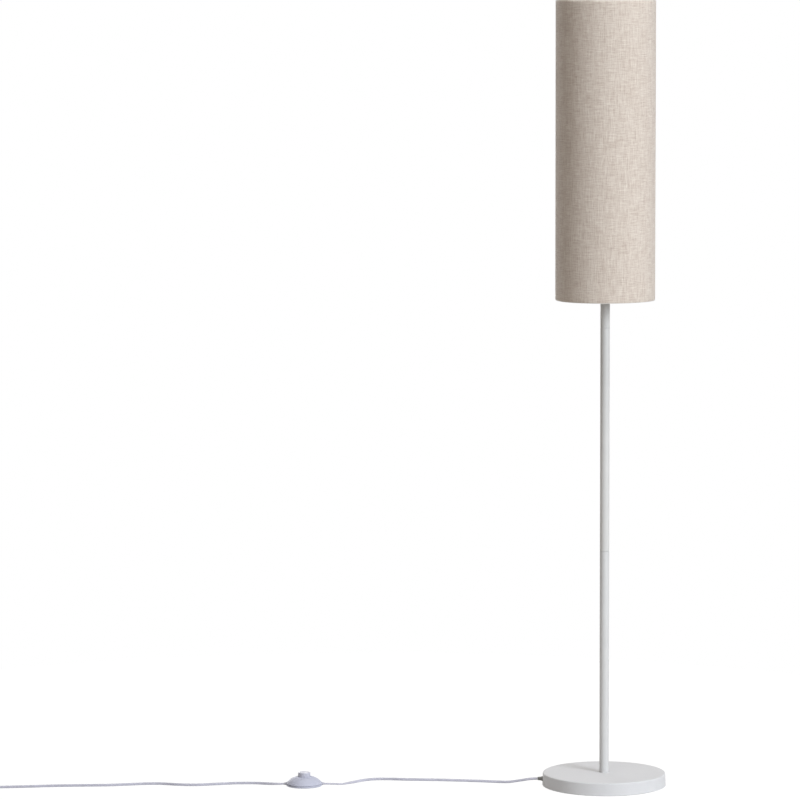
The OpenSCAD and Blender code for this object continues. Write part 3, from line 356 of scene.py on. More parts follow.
# Each slot's maker and colour, or the setting that holds the colour, and what else the maker takes:
# its roughness and, for a moulded skin, the grain and depth in millimetres and the mottle.
FINISHES = {
    "cover_paint": (moulded, "lamp_paint.cover_colour", 0.66, 0.6, 0.04, 0.015),
    # The upper tubes' paint carries painted light: it is lighter than the lower tube's to make up for the
    # shade's shadow on them.
    "tube_paint": (moulded, "lamp_paint.tube_colour", 0.48, 0.6, 0.04, 0.02),
    "lower_paint": (moulded, "lamp_paint.lower_colour", 0.48, 0.6, 0.04, 0.02),
    "carrier_paint": (moulded, (0.82, 0.82, 0.81), 0.45, 0.5, 0.04, 0.02),
    "cast_iron": (cast_iron, (0.1, 0.1, 0.11)),
    "foam_pad": (foam, (0.03, 0.03, 0.03)),
    "zinc": (turned_metal, (0.62, 0.63, 0.65), 0.3),
    "brass": (turned_metal, (0.78, 0.6, 0.3), 0.26),
    "bulb_metal": (turned_metal, (0.7, 0.7, 0.7), 0.22),
    "bushing_rubber": (moulded, (0.27, 0.27, 0.262), 0.62, 0.5, 0.04, 0.08),
    "white_plastic": (moulded, (0.85, 0.85, 0.83), 0.42),
    "cord_pvc": (sheath, "lamp_lead.colour"),
    "core_pvc": (moulded, (0.25, 0.1, 0.05), 0.4),
    "ceramic": (moulded, (0.88, 0.87, 0.83), 0.16, 2, 0.05, 0.02),
    "liner": (film, (0.9, 0.89, 0.86)),
    "linen": (linen, "lamp_shade.colour"),
    "black_glass": (moulded, (0.02, 0.02, 0.03), 0.08, 2, 0.02, 0.05),
    "bulb_plastic": (moulded, (0.88, 0.88, 0.87), 0.3, 0.8, 0.02, 0.01),
    "board": (moulded, (0.85, 0.85, 0.82), 0.4, 1, 0.03, 0.03),
    "opal": (opal, (0.93, 0.93, 0.9)),
    "switch_plastic": (moulded, "lamp_switch.colour", 0.52, 0.5, 0.03, 0.02),
    "button_plastic": (moulded, "lamp_switch.button_colour", 0.3, 0.7, 0.02, 0.02),
    "dark_plastic": (moulded, (0.035, 0.035, 0.04), 0.45, 0.5, 0.03, 0.12),
    "spring_steel": (turned_metal, (0.55, 0.55, 0.56), 0.28),
    "foot_rubber": (moulded, (0.1, 0.1, 0.11), 0.8, 0.4, 0.06, 0.2),
    "relief_rubber": (moulded, "lamp_switch.relief_colour", 0.62, 0.4, 0.04, 0.06),
    "tie_plastic": (woven_band, (0.09, 0.09, 0.1)),
    "plug_plastic": (moulded, "lamp_plug.colour", 0.52, 0.35, 0.04, 0.03),
    "pin_metal": (pin_metal, (0.72, 0.71, 0.68)),
}

# What a few moulded finishes set on the shader as well.
GLOSS = {
    "cover_paint": {"Specular_IOR_Level": 0.3}, "switch_plastic": {"Specular_IOR_Level": 0.3},
    "ceramic": {"Coat_Weight": 0.4}, "black_glass": {"Coat_Weight": 0.5},
}


@functools.cache
def finish_for(slot):
    """The material of a slot, made once."""
    maker, colour, *values = FINISHES[slot]
    if isinstance(colour, str):
        colour = tuple(bpy.context.scene.path_resolve(colour))
    return maker(slot, colour, *values, **GLOSS.get(slot, {}))


def dress(piece, slot):
    """Gives an object the material of a slot, and no other."""
    piece.data.materials.clear()
    piece.data.materials.append(finish_for(slot))


# ---- Lines and outlines ----


def clamped(x):
    return min(1.0, max(0.0, x))


def eased(x, start=0.0, end=1.0):
    """0 up to start, 1 from end on, and a smooth rise between them."""
    s = clamped((x - start) / (end - start))
    return s * s * (3 - 2 * s)


def between(table, x):
    """The value at x on a table of (x, value) pairs, straight between them."""
    for (x0, v0), (x1, v1) in zip(table, table[1:]):
        if x <= x1:
            return v0 + (v1 - v0) * max(0.0, (x - x0) / (x1 - x0))
    return table[-1][1]


def running(path):
    """The length of a line of points up to each of them."""
    return [0.0, *itertools.accumulate(math.dist(a, b) for a, b in zip(path, path[1:]))]


def heading(path, i):
    """The direction of a line of points at its point i."""
    return (path[min(i + 1, len(path) - 1)] - path[max(i - 1, 0)]).normalized()


def arc(centre, radius, start, end, steps, grown=0.0):
    """Points round a centre, from start to end in quarter turns, on a radius that ends larger by grown."""
    line = []
    for t in (i / steps for i in range(steps + 1)):
        a = math.pi / 2 * (start + (end - start) * t)
        line.append((centre[0] + (radius + grown * t) * math.cos(a),
                     centre[1] + (radius + grown * t) * math.sin(a)))
    return line


def bent(corners, steps=18):
    """A curve from the first to the last of three points, drawn towards the one between them."""
    a, b, c = (Vector(p) for p in corners)
    shares = (i / steps for i in range(steps + 1))
    return [tuple(a * (1 - t) ** 2 + b * 2 * t * (1 - t) + c * t ** 2) for t in shares]


def rounded(corners, radius, steps=4):
    """A closed outline with every corner rounded."""
    corners = [Vector(p) for p in corners]
    outline = []
    for before, at, after in zip(corners[-1:] + corners, corners, corners[1:] + corners[:1]):
        a, b = (before - at).normalized(), (after - at).normalized()
        cut = min(radius / math.tan(a.angle(b) / 2), (before - at).length / 2, (after - at).length / 2)
        outline += bent((at + a * cut, at, at + b * cut), steps)
    return outline


def flat_section(width, thickness, sides, waist=0.0):
    """The ring of a flat section with round edges, whose middle is thinner by the share waist."""
    ring = []
    for i in range(sides):
        a = 2 * math.pi * (i + 0.5) / sides
        x = math.copysign((width - thickness) / 2, math.cos(a)) + math.cos(a) * thickness / 2
        ring.append((x, math.sin(a) * thickness / 2 * (1 - waist * (1 - abs(math.cos(a))) ** 2)))
    return ring


# ---- Pieces ----

SHARP_FROM = 35
GROWN_SHARP_FROM = 30


def skinned(rings):
    """The points and faces of a skin over rings of as many points each, with a cap on both ends."""
    sides, last = len(rings[0]), len(rings) - 1
    faces = []
    for i in range(last):
        for j in range(sides):
            k = (j + 1) % sides
            faces.append([i * sides + j, i * sides + k, (i + 1) * sides + k, (i + 1) * sides + j])
    faces.append(list(range(sides - 1, -1, -1)))
    faces.append([last * sides + j for j in range(sides)])
    return [p for ring in rings for p in ring], faces


def joined(meshes):
    """The points and faces of several meshes as one."""
    points, faces = [], []
    for more_points, more_faces in meshes:
        faces += [[len(points) + i for i in face] for face in more_faces]
        points += more_points
    return points, faces


def smooth(mesh, degrees):
    """Shades a mesh smooth but for the edges sharper than that."""
    mesh.shade_smooth()
    mesh.set_sharp_from_angle(angle=math.radians(degrees))


def outward(piece):
    """Turns a closed piece's faces outwards, and drops edges that carry no face."""
    bm = bmesh.new()
    bm.from_mesh(piece.data)
    bmesh.ops.delete(bm, geom=[e for e in bm.edges if not e.link_faces], context="EDGES")
    bmesh.ops.recalc_face_normals(bm, faces=bm.faces)
    bm.to_mesh(piece.data)
    bm.free()
    return piece


def settle(name, mesh, slot, body="lamp", replaced=()):
    """Makes a mesh a piece: linked, with its material, riding on its body."""
    piece = bpy.data.objects.new(name, mesh)
    bpy.context.scene.collection.objects.link(piece)
    dress(piece, slot)
    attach(piece, body)
    if replaced:
        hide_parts(*replaced)
    return piece


def new_piece(name, points, faces, slot, replaced=(), uv=None):
    """A piece from points and faces; uv is its map's name and the map's place of each face corner."""
    mesh = bpy.data.meshes.new(name)
    mesh.from_pydata([tuple(p) for p in points], [], faces)
    if uv:
        map_name, corners = uv
        layer = mesh.uv_layers.new(name=map_name)
        for loop, corner in zip(layer.data, corners):
            loop.uv = corner
    mesh.validate()
    smooth(mesh, SHARP_FROM)
    return settle(name, mesh, slot, replaced=replaced)


# ---- Geometry Nodes ----


class Growth(Nodes):
    """A Geometry Nodes tree under way: named inputs, nodes, and a mesh with its material at the end."""

    prefix = "GeometryNode"

    def __init__(self, name, **inputs):
        super().__init__(bpy.data.node_groups.new(name, "GeometryNodeTree"))
        sockets = self.tree.interface
        for key, kind in inputs.items():
            sockets.new_socket(key, in_out="INPUT", socket_type="NodeSocket" + kind)
        sockets.new_socket("Geometry", in_out="OUTPUT", socket_type="NodeSocketGeometry")
        self.given = self.tree.nodes.new("NodeGroupInput").outputs

    def close(self, geometry):
        real = self.node("RealizeInstances", {0: geometry}).outputs[0]
        dressed = self.node("SetMaterial", {"Geometry": real, "Material": self.given["Material"]})
        end = self.tree.nodes.new("NodeGroupOutput")
        self.tree.links.new(dressed.outputs[0], end.inputs[0])
        return self.tree


def grow(name, group, slot, source=None, body="lamp", replaced=(), **values):
    """Runs a tree on a carrier mesh, keeps the result as a plain mesh, and finishes the piece."""
    carrier = bpy.data.objects.new(name + "_carrier", source or bpy.data.meshes.new(name + "_carrier"))
    bpy.context.scene.collection.objects.link(carrier)
    modifier = carrier.modifiers.new("growth", "NODES")
    modifier.node_group = group
    values["Material"] = finish_for(slot)
    for item in group.interface.items_tree:
        if item.item_type == "SOCKET" and item.in_out == "INPUT" and item.name in values:
            modifier[item.identifier] = values[item.name]
    depsgraph = bpy.context.evaluated_depsgraph_get()
    mesh = bpy.data.meshes.new_from_object(carrier.evaluated_get(depsgraph), depsgraph=depsgraph)
    bpy.data.objects.remove(carrier)
    if not mesh.polygons:
        raise RuntimeError("nothing grew for " + name)
    mesh.name = name
    piece = outward(settle(name, mesh, slot, body, replaced))
    smooth(mesh, GROWN_SHARP_FROM)
    return piece


@functools.cache
def turned_tree():
    """Spins a closed outline, points of (radius, 0, height) joined in a ring, round the Z axis."""
    g = Growth("Turned Outline", Geometry="Geometry", Sides="Int", Centre="Vector", Material="Material")
    outline, sides = g.given["Geometry"], g.given["Sides"]
    count = g.node("AttributeDomainSize", {0: outline}, component="MESH").outputs["Point Count"]
    rows = g.math("ADD", count, 1)
    grid = g.node("MeshGrid", {"Vertices X": g.math("ADD", sides, 1), "Vertices Y": rows})
    index = g.node("InputIndex").outputs[0]
    column = g.math("FLOOR", g.math("DIVIDE", g.math("ADD", index, 0.5), rows))
    row = g.math("MODULO", g.math("SUBTRACT", index, g.math("MULTIPLY", column, rows)), count)
    at = g.node("SampleIndex", {
        "Geometry": outline, "Value": g.node("InputPosition").outputs[0], "Index": row,
    }, data_type="FLOAT_VECTOR", domain="POINT")
    radius, _, height = g.split(at.outputs[0])
    angle = g.math("DIVIDE", g.math("MULTIPLY", column, 2 * math.pi), sides)
    spun = g.vector(g.math("MULTIPLY", radius, g.math("COSINE", angle)),
                    g.math("MULTIPLY", radius, g.math("SINE", angle)), height)
    moved = g.node("SetPosition", {"Geometry": grid.outputs["Mesh"], "Position": spun}).outputs[0]
    whole = g.node("MergeByDistance", {"Geometry": moved, "Distance": 1e-6}).outputs[0]
    return g.close(g.node("Transform", {"Geometry": whole, "Translation": g.given["Centre"]}).outputs[0])


def turned(name, slot, outline, centre=(0.0, 0.0, 0.0), **ride):
    """A piece spun from a closed outline of (radius, height) in millimetres about an upright axis."""
    ring = bpy.data.meshes.new(name)
    edges = [(i, (i + 1) % len(outline)) for i in range(len(outline))]
    ring.from_pydata([(r * MM, 0, z * MM) for r, z in outline], edges, [])
    sides = bpy.context.scene.lamp_paint.sides
    return grow(name, turned_tree(), slot, ring, Sides=sides, Centre=centre, **ride)


@functools.cache
def thread_tree():
    """A round thread or wire wound up a cylinder from its foot, running out to nothing at both ends."""
    g = Growth("Thread", Radius="Float", Pitch="Float", Turns="Float", Crest="Float", Foot="Vector",
               Material="Material")
    given = g.given
    line = g.node("CurveSpiral", {
        "Resolution": 72, "Rotations": given["Turns"], "Start Radius": given["Radius"],
        "End Radius": given["Radius"], "Height": g.math("MULTIPLY", given["Pitch"], given["Turns"]),
    }).outputs[0]
    along = g.node("SplineParameter").outputs["Factor"]
    from_end = g.math("MINIMUM", along, g.math("SUBTRACT", 1.0, along))
    share = g.math("MINIMUM", g.math("MULTIPLY", from_end, g.math("MULTIPLY", given["Turns"], 3.0)), 1.0)
    size = g.math("MAXIMUM", share, 0.02)
    line = g.node("SetCurveRadius", {"Curve": line, "Radius": size}).outputs[0]
    section = g.node("CurvePrimitiveCircle", {"Resolution": 10, "Radius": given["Crest"]}).outputs[0]
    wire = g.node("CurveToMesh", {"Curve": line, "Profile Curve": section, "Fill Caps": True}).outputs[0]
    return g.close(g.node("Transform", {"Geometry": wire, "Translation": given["Foot"]}).outputs[0])


def ribs_tree():
    """Round-ended ribs in a row along Y on both broad faces of a flat body, each a little shorter."""
    g = Growth("Grip Ribs", Count="Int", Pitch="Float", Length="Float", Shorter="Float", Thickness="Float",
               Lift="Float", Start="Vector", Material="Material")
    given = g.given
    ball = g.node("MeshUVSphere", {"Segments": 12, "Rings": 9, "Radius": 1.0}).outputs["Mesh"]
    # the ball becomes a bar: its two halves move apart along X
    half = g.math("SIGN", g.split(g.node("InputPosition").outputs[0])[0])
    bar = g.node("SetPosition", {"Geometry": ball, "Offset": g.vector(x=half)}).outputs[0]
    step = g.vector(y=g.math("MULTIPLY", given["Pitch"], -1.0))
    row = g.node("MeshLine", {"Count": given["Count"], "Offset": step}).outputs["Mesh"]
    number = g.node("InputIndex").outputs[0]
    length_here = g.math("SUBTRACT", given["Length"], g.math("MULTIPLY", number, given["Shorter"]))
    size = g.vector(length_here, given["Thickness"], given["Thickness"])
    both = g.node("JoinGeometry")
    for way in (1.0, -1.0):
        lift = g.vector(z=g.math("MULTIPLY", given["Lift"], way))
        moved = g.node("Transform", {"Geometry": row, "Translation": lift}).outputs[0]
        ribs = g.node("InstanceOnPoints", {"Points": moved, "Instance": bar, "Scale": size}).outputs[0]
        g.tree.links.new(ribs, both.inputs[0])
    placed = g.node("Transform", {"Geometry": both.outputs[0], "Translation": given["Start"]})
    return g.close(placed.outputs[0])


# ---- Lead ----

# The lead's route, as in the CAD source: x, y and z, and how far the flat lead stands on edge
# there, from 0, flat on the floor, to 1.
ROUTE_TO_SWITCH = [
    (-134.9, 0, 13, 0.5), (-150, 1, 12.2, 0.5), (-170, 7, 8, 0.5), (-192, 14, 4, 0.55),
    (-215, 22, 2.7, 0.6), (-245, 29, 2.7, 0.65), (-290, 37, 2.7, 0.65), (-340, 44, 2.7, 0.75),
    (-390, 48, 2.7, 0.8), (-435, 54, 2.7, 1), (-462, 54, 2.7, 1), (-486, 43, 2.7, 1),
    (-508, 23, 2.7, 0.5), (-530, 7, 2.7, 0), (-550, -2, 4.2, 0), (-567.5, -3, 4.7, 0),
]
ROUTE_TO_COIL = [
    (-648.5, -3, 4.7, 0), (-665, -2, 4.2, 0.3), (-685, 7, 2.7, 0.9), (-710, 13, 2.7, 1),
    (-750, 12, 2.7, 1), (-790, 3, 2.7, 1), (-828, -5, 2.7, 1), (-865, -1, 2.7, 1),
    (-898, 9, 2.7, 1), (-930, 9, 2.7, 1), (-965, 2, 2.7, 1), (-1010, -6, 2.7, 1),
    (-1060, -8, 2.7, 1), (-1120, -12, 2.7, 1), (-1180, -20, 2.7, 1), (-1230, -24, 2.7, 1),
    (-1266, -24, 3.3, 1),
]
ROUTE_TO_PLUG = [(-1318.7, 19, 8.6, 1), (-1319, 29, 8.4, 1), (-1319, 35, 7.2, 0.6), (-1319, 41.4, 6.85, 0)]
# below the first height the lead lies on the floor, and above the second it is free of it
LAID_BELOW, FREE_ABOVE = 3.0, 7.0

COIL_CENTRE = (-1285, 10)
COIL_TURNS = 3.25
COIL_RADII = (33.7, 28.3)
COIL_HEIGHTS = (3.3, 8.7)
COIL_STEP = 6
# the turns between which the coil goes inwards, up to its second layer, and out again
COIL_INWARD, COIL_UPWARD, COIL_OUTWARD = (0.74, 0.97), (1.49, 1.73), (2.24, 2.48)

LEAD_SIDES, LEAD_WAIST = 20, 0.07
SPLINE_STEPS = 24
SWITCH_PIECES = ["switch_tray", "switch_lip", "switch_shell", "switch_cap", "switch_feet", "switch_sleeves"]
PLUG_PIECES = ["plug_shell", "plug_ribs", "plug_pins", "coil_band"]


def catmull(points, step):
    """A smooth line through points of any size, at even steps, as the CAD source draws it."""
    points = [Vector(p) for p in points]
    dense = []
    for i in range(len(points) - 1):
        a, b, c, d = (points[min(max(k, 0), len(points) - 1)] for k in range(i - 1, i + 3))
        for t in (j / SPLINE_STEPS for j in range(SPLINE_STEPS)):
            dense.append(0.5 * (2 * b + (c - a) * t + (2 * a - 5 * b + 4 * c - d) * t * t
                                + (3 * b - a - 3 * c + d) * t ** 3))
    dense.append(points[-1])
    lengths = running([p[:3] for p in dense])
    count = max(2, round(lengths[-1] / step))
    line, k = [], 0
    for i in range(count + 1):
        want = lengths[-1] * i / count
        while k < len(lengths) - 2 and lengths[k + 1] < want:
            k += 1
        t = (want - lengths[k]) / max(lengths[k + 1] - lengths[k], 1e-12)
        line.append(dense[k].lerp(dense[k + 1], clamped(t)))
    return line


def laid(route, lead):
    """The lead's smooth centreline in metres, with its turn, lowered where it lies flat."""
    line = []
    for x, y, z, turn in catmull(route, lead.ring_step / MM):
        turn = clamped(turn)
        slack = (lead.width - lead.thickness) / 2 * (1 - math.sin(turn * math.pi / 2))
        on_floor = clamped((FREE_ABOVE - z) / (FREE_ABOVE - LAID_BELOW))
        line.append((Vector((x, y, z)) * MM - UP * slack * on_floor, turn))
    return line


def coil_line():
    """Centreline of the wound length with its turn: in low, round, up and out on top."""
    cx, cy = COIL_CENTRE
    count = int(COIL_TURNS * math.pi * sum(COIL_RADII) / COIL_STEP)
    line = []
    for i in range(1, count + 1):
        t = COIL_TURNS * i / count
        inward = eased(t, *COIL_INWARD) - eased(t, *COIL_OUTWARD)
        r = COIL_RADII[0] + (COIL_RADII[1] - COIL_RADII[0]) * inward
        a = -math.pi / 2 - 2 * math.pi * t
        z = COIL_HEIGHTS[0] + (COIL_HEIGHTS[1] - COIL_HEIGHTS[0]) * eased(t, *COIL_UPWARD)
        line.append((cx + r * math.cos(a), cy + r * math.sin(a), z, 1.0))
    return line


def lead_mesh(line, width, thickness):
    """A flat two-core lead along a line of (point, turn), with a faint waist between its cores: its
    points, its faces, and the corners of its map, which runs along it in metres and once round it."""
    path = [p for p, _ in line]
    section = flat_section(width, thickness, LEAD_SIDES, LEAD_WAIST)
    rings = []
    for i, (p, turn) in enumerate(line):
        ahead = heading(path, i)
        across = ahead.cross(UP).normalized()
        up = across.cross(ahead)
        a = turn * math.pi / 2
        wide, thin = across * math.cos(a) + up * math.sin(a), up * math.cos(a) - across * math.sin(a)
        rings.append([p + wide * x + thin * y for x, y in section])
    marks = running(path)
    corners = []
    for here, there in zip(marks, marks[1:]):
        for j in range(LEAD_SIDES):
            low, high = j / LEAD_SIDES, (j + 1) / LEAD_SIDES
            corners += [(here, low), (here, high), (there, high), (there, low)]
    for end in (marks[0], marks[-1]):
        corners += [(end, 0.5)] * LEAD_SIDES
    return *skinned(rings), corners


class LAMP_OT_lead(bpy.types.Operator):
    """Makes the flat lead from the base to the foot switch, and on through its coil to the plug"""

    bl_idname = "lamp.lead"
    bl_label = "Lead and Coil"

    def execute(self, context):
        lead = context.scene.lamp_lead
        wound = ROUTE_TO_COIL + coil_line() + ROUTE_TO_PLUG
        for name, route, nodes, far_end, lay, others in (
            ("lead_to_switch", ROUTE_TO_SWITCH, ["cord_to_switch"], "object", "loose", SWITCH_PIECES),
            ("lead_to_plug", wound, ["cord_to_plug", "cord_coil"], "plug", "coiled", PLUG_PIECES),
        ):
            line = laid(route, lead)
            points, faces, corners = lead_mesh(line, lead.width, lead.thickness)
            piece = outward(new_piece(
                name, points, faces, "cord_pvc", replaced=nodes, uv=("along", corners)))
        return {"FINISHED"}


# ---- Plug and band ----

# The plug is measured from the middle of its face. Its body: half height, cut at the sides, half
# widths on the way to the tail, and how square its section is.
PLUG_HALF_HEIGHT = 6.85
PLUG_PLACE = Vector((-1319, 100, PLUG_HALF_HEIGHT)) * MM
PLUG_SIDE_CUT = 4.6
PLUG_WAIST = ((0, 16.9), (0.35, 17.35), (1.1, 17.65), (16, 17.65), (19, 17.2), (23, 15.2), (28, 11.6),
              (33, 8.2), (36, 6.6), (38, 5.7))
PLUG_SQUARENESS = 14
FACE_ROUND, FACE_ROUND_REACH = 0.75, 0.9
# the broad faces sink a little where the fingers hold the plug
GRIP_FROM, GRIP_TO, GRIP_RAMP, GRIP_SINK = 17.5, 34.0, 1.5, 0.55
# the tail: where it starts to get round, its radii, and its grooves
NECK_FROM, TAIL_FROM, TAIL_TO = 32, 38, 58
PLUG_TAIL = ((TAIL_FROM, 5.3), (TAIL_TO, 3.4))
TAIL_LEAST = 2.75
GROOVES_FROM, GROOVES_TO, GROOVE_PITCH, GROOVE_WIDTH, GROOVE_DEPTH = 39.5, 56.5, 4, 1.3, 0.9
PLUG_SIDES = 72
BODY_RINGS = (0, 0.12, 0.3, 0.6, 1.1, 2, 5, 9, 13, 16, 17.5, 18, 18.5, 19, 21, 23, 25, 27, 29, 31, 32.5,
              33, 33.5, 34, 35, 36, 37, 38, 39)
TAIL_RING_STEP = 0.25
RIBS_FROM, RIB_LENGTH, RIB_SHORTER, RIB_THICKNESS = 20.2, 4.6, 0.75, 0.62

BAND_ANGLE = math.radians(60)
BAND_RADIUS = 31
BAND_INNER = (4.75, 5.45)      # half of the bundle that it goes round, outwards and up
BAND_MIDDLE = 6.0
BAND_CORNER, BAND_THICKNESS, BAND_SLACK = 3.4, 0.5, 0.05
BAND_START = -0.5
# its loose end, outwards from the lap and up from the corner
BAND_LOOSE_END = ((0, -0.8), (0.35, 0.9), (1.1, 2.3))


def tail_radius(at):
    """The plug's tail at a distance from its face, less in its grooves."""
    r = between(PLUG_TAIL, at)
    step = (at - GROOVES_FROM) % GROOVE_PITCH
    if GROOVES_FROM < at < GROOVES_TO and step < GROOVE_WIDTH:
        r -= GROOVE_DEPTH * math.sin(math.pi * step / GROOVE_WIDTH) ** 0.5
    return max(r, TAIL_LEAST)


def plug_section(at):
    """One ring of the plug at a distance from its face: a flat six-sided body whose corners are
    rounded, which turns into the round grooved tail."""
    wide = between(PLUG_WAIST, at)
    tall = PLUG_HALF_HEIGHT - FACE_ROUND * max(0.0, 1 - at / FACE_ROUND_REACH) ** 2
    tall -= GRIP_SINK * clamped(min(at - GRIP_FROM, GRIP_TO - at) / GRIP_RAMP)
    tall += (PLUG_TAIL[0][1] - tall) * clamped((at - GRIP_TO) / (TAIL_FROM - GRIP_TO))
    round_share = clamped((at - NECK_FROM) / (TAIL_FROM - NECK_FROM))
    power_of = PLUG_SQUARENESS
    ring = []
    for i in range(PLUG_SIDES):
        t = 2 * math.pi * (i + 0.5) / PLUG_SIDES
        a = math.atan2(tall * math.sin(t), wide * math.cos(t))
        c, s = abs(math.cos(a)), abs(math.sin(a))
        sloped = (c + s * PLUG_SIDE_CUT / tall) / wide
        flat = ((s / tall) ** power_of + sloped ** power_of) ** (-1 / power_of)
        oval = 1 / math.hypot(c / wide, s / tall)
        r = tail_radius(at) if at > TAIL_FROM else flat + (oval - flat) * round_share
        ring.append((r * math.cos(a), r * math.sin(a)))
    return ring


def plug_mesh():
    count = round((TAIL_TO - GROOVES_FROM) / TAIL_RING_STEP)
    tail = (GROOVES_FROM + TAIL_RING_STEP * i for i in range(count))
    return skinned([[PLUG_PLACE + Vector((x, -at, z)) * MM for x, z in plug_section(at)]
                    for at in (*BODY_RINGS, *tail, TAIL_TO)])


def band_path():
    """The band's middle line, outwards and up: once round the bundle, then on over its own start."""
    half_x, half_z = (v + BAND_THICKNESS / 2 for v in BAND_INNER)
    x, z = half_x - BAND_CORNER, half_z - BAND_CORNER
    lap = BAND_THICKNESS + BAND_SLACK
    line = [(half_x, BAND_START)]
    for quarter, centre in enumerate(((x, z), (-x, z), (-x, -z), (x, -z))):
        line += arc(centre, BAND_CORNER, quarter, quarter + 1, 8, lap if quarter == 3 else 0)
    line.append((half_x + lap, 0))
    return line + [(half_x + lap + out, z + up) for out, up in BAND_LOOSE_END]


def band_mesh(width):
    """The band as a strip with rounded edges, swept along its path."""
    section = flat_section(width / MM, BAND_THICKNESS, 12)
    line = [Vector(p) for p in band_path()]
    out = Vector((math.cos(BAND_ANGLE), math.sin(BAND_ANGLE), 0))
    across = UP.cross(out)
    centre = Vector((*COIL_CENTRE, BAND_MIDDLE)) * MM + out * BAND_RADIUS * MM
    rings = []
    for i, p in enumerate(line):
        way = heading(line, i)
        rings.append([
            centre + (out * (p.x + way.y * thick) + across * wide + UP * (p.y - way.x * thick)) * MM
            for wide, thick in section])
    return skinned(rings)


class LAMP_OT_plug(bpy.types.Operator):
    """Makes the moulded plug with its grip ribs, and the band round the coil"""

    bl_idname = "lamp.plug"
    bl_label = "Plug and Band"

    def execute(self, context):
        plug = context.scene.lamp_plug
        outward(new_piece("plug_shell", *plug_mesh(), "plug_plastic", replaced=["plug_body"]))
        grow("plug_ribs", ribs_tree(), "plug_plastic", Count=plug.ribs, Pitch=plug.rib_pitch,
             Length=RIB_LENGTH * MM, Shorter=RIB_SHORTER * MM, Thickness=RIB_THICKNESS * MM,
             Lift=(PLUG_HALF_HEIGHT - RIB_THICKNESS) * MM, Start=PLUG_PLACE - Vector((0, RIBS_FROM, 0)) * MM)
        outward(new_piece("coil_band", *band_mesh(plug.band_width), "tie_plastic", replaced=["coil_tie"]))
        return {"FINISHED"}


# ---- Foot switch ----

SWITCH_CENTRE = Vector((-608 * MM, -3 * MM, 0))
# the cover's section from the switch's middle: its mouth, dome, rim, inside and the collar's foot
COVER_MOUTH = ((12.85, 15.5), (12.85, 19.0))
COVER_DOME = ((13.2, 19.4), (28.0, 17.2), (36.3, 5.6))
COVER_RIM = ((36.3, 5.15), (35.9, 4.8), (33.4, 4.8))
COVER_INSIDE = ((33.4, 5.4), (27.0, 15.2), (15.2, 17.1))
COVER_COLLAR = (15.2, 15.5)
# the lip round the tray, under a fine joint below the cover's rim
TRAY_LIP = ((34.6, 4.4), (35.8, 4.4), (36.15, 4.1), (36.2, 3.6), (36.15, 1.5), (35.95, 0.95), (35.4, 0.6),
            (31.2, 0.6))
# the button's section: its stem, cup and flange, then its soft-edged, dished top
BUTTON_STEM = ((0, 9.8), (2.5, 9.8), (2.5, 26), (10.6, 26), (10.6, 13.2), (14, 13.2), (14, 15.2),
               (12.6, 15.2))
BUTTON_RADIUS, BUTTON_TOP, BUTTON_EDGE, BUTTON_DISH = 12.6, 28.0, 1.8, 0.3
# the button's spring, from its foot on the contact block to the button's roof
SPRING_LOW, SPRING_HIGH, SPRING_RADIUS, SPRING_WIRE, SPRING_TURNS = 10.9, 25.9, 6.5, 0.5, 5.0
# the lead inside the switch, as distances from the middle: its sheath with its heights, its two cores
SHEATH_ENDS = ((26, 4.7), (36, 4.65), (40.6, 4.15))
CORE_ENDS, CORE_APART, CORE_WIDTH = (21.4, 27), 1.35, 2.2
# the reliefs' rings: distance from the middle, half width, half height and height of their axis
RELIEF_RINGS = (
    (30.5, 3.38, 3.38, 4.7), (34.9, 3.38, 3.38, 4.7), (35.3, 3.9, 3.3, 4.7), (36.2, 3.85, 3.1, 4.65),
    (37.8, 3.65, 2.7, 4.5), (39.6, 3.25, 2.25, 4.3), (41.2, 3.05, 2.02, 4.2), (41.6, 2.95, 1.92, 4.15),
    (41.75, 2.8, 1.78, 4.12),
)
RELIEF_SIDES = 32


def relief_mesh(way):
    """One relief, an oval sleeve that narrows onto the flat lead; way is -1 or 1 along X."""
    angles = [2 * math.pi * i / RELIEF_SIDES for i in range(RELIEF_SIDES)]
    return skinned([
        [SWITCH_CENTRE + MM * Vector((way * out, wide * math.cos(a), z + tall * math.sin(a))) for a in angles]
        for out, wide, tall, z in RELIEF_RINGS])


def button_outline():
    flat = BUTTON_RADIUS - BUTTON_EDGE
    edge = arc((flat, BUTTON_TOP - BUTTON_EDGE), BUTTON_EDGE, 0, 1, 10)
    shares = [i / 8 for i in range(1, 9)]
    dish = [(flat * (1 - t), BUTTON_TOP - BUTTON_DISH * eased(t)) for t in shares]
    return [*BUTTON_STEM, *edge, *dish]


def lead_ends(lead):
    """The lead inside the switch, on both sides of its middle: one mesh for each sheath and core."""
    meshes = []
    for way in (-1, 1):
        runs = [([(way * x, 0, z) for x, z in SHEATH_ENDS], lead.width, lead.thickness)]
        for side in (-1, 1):
            core = [(way * x, side * CORE_APART, SHEATH_ENDS[0][1]) for x in CORE_ENDS]
            runs.append((core, CORE_WIDTH * MM, CORE_WIDTH * MM))
        for line, width, thickness in runs:
            line = [(SWITCH_CENTRE + Vector(p) * MM, 0.0) for p in line]
            meshes.append(lead_mesh(line, width, thickness))
    return meshes


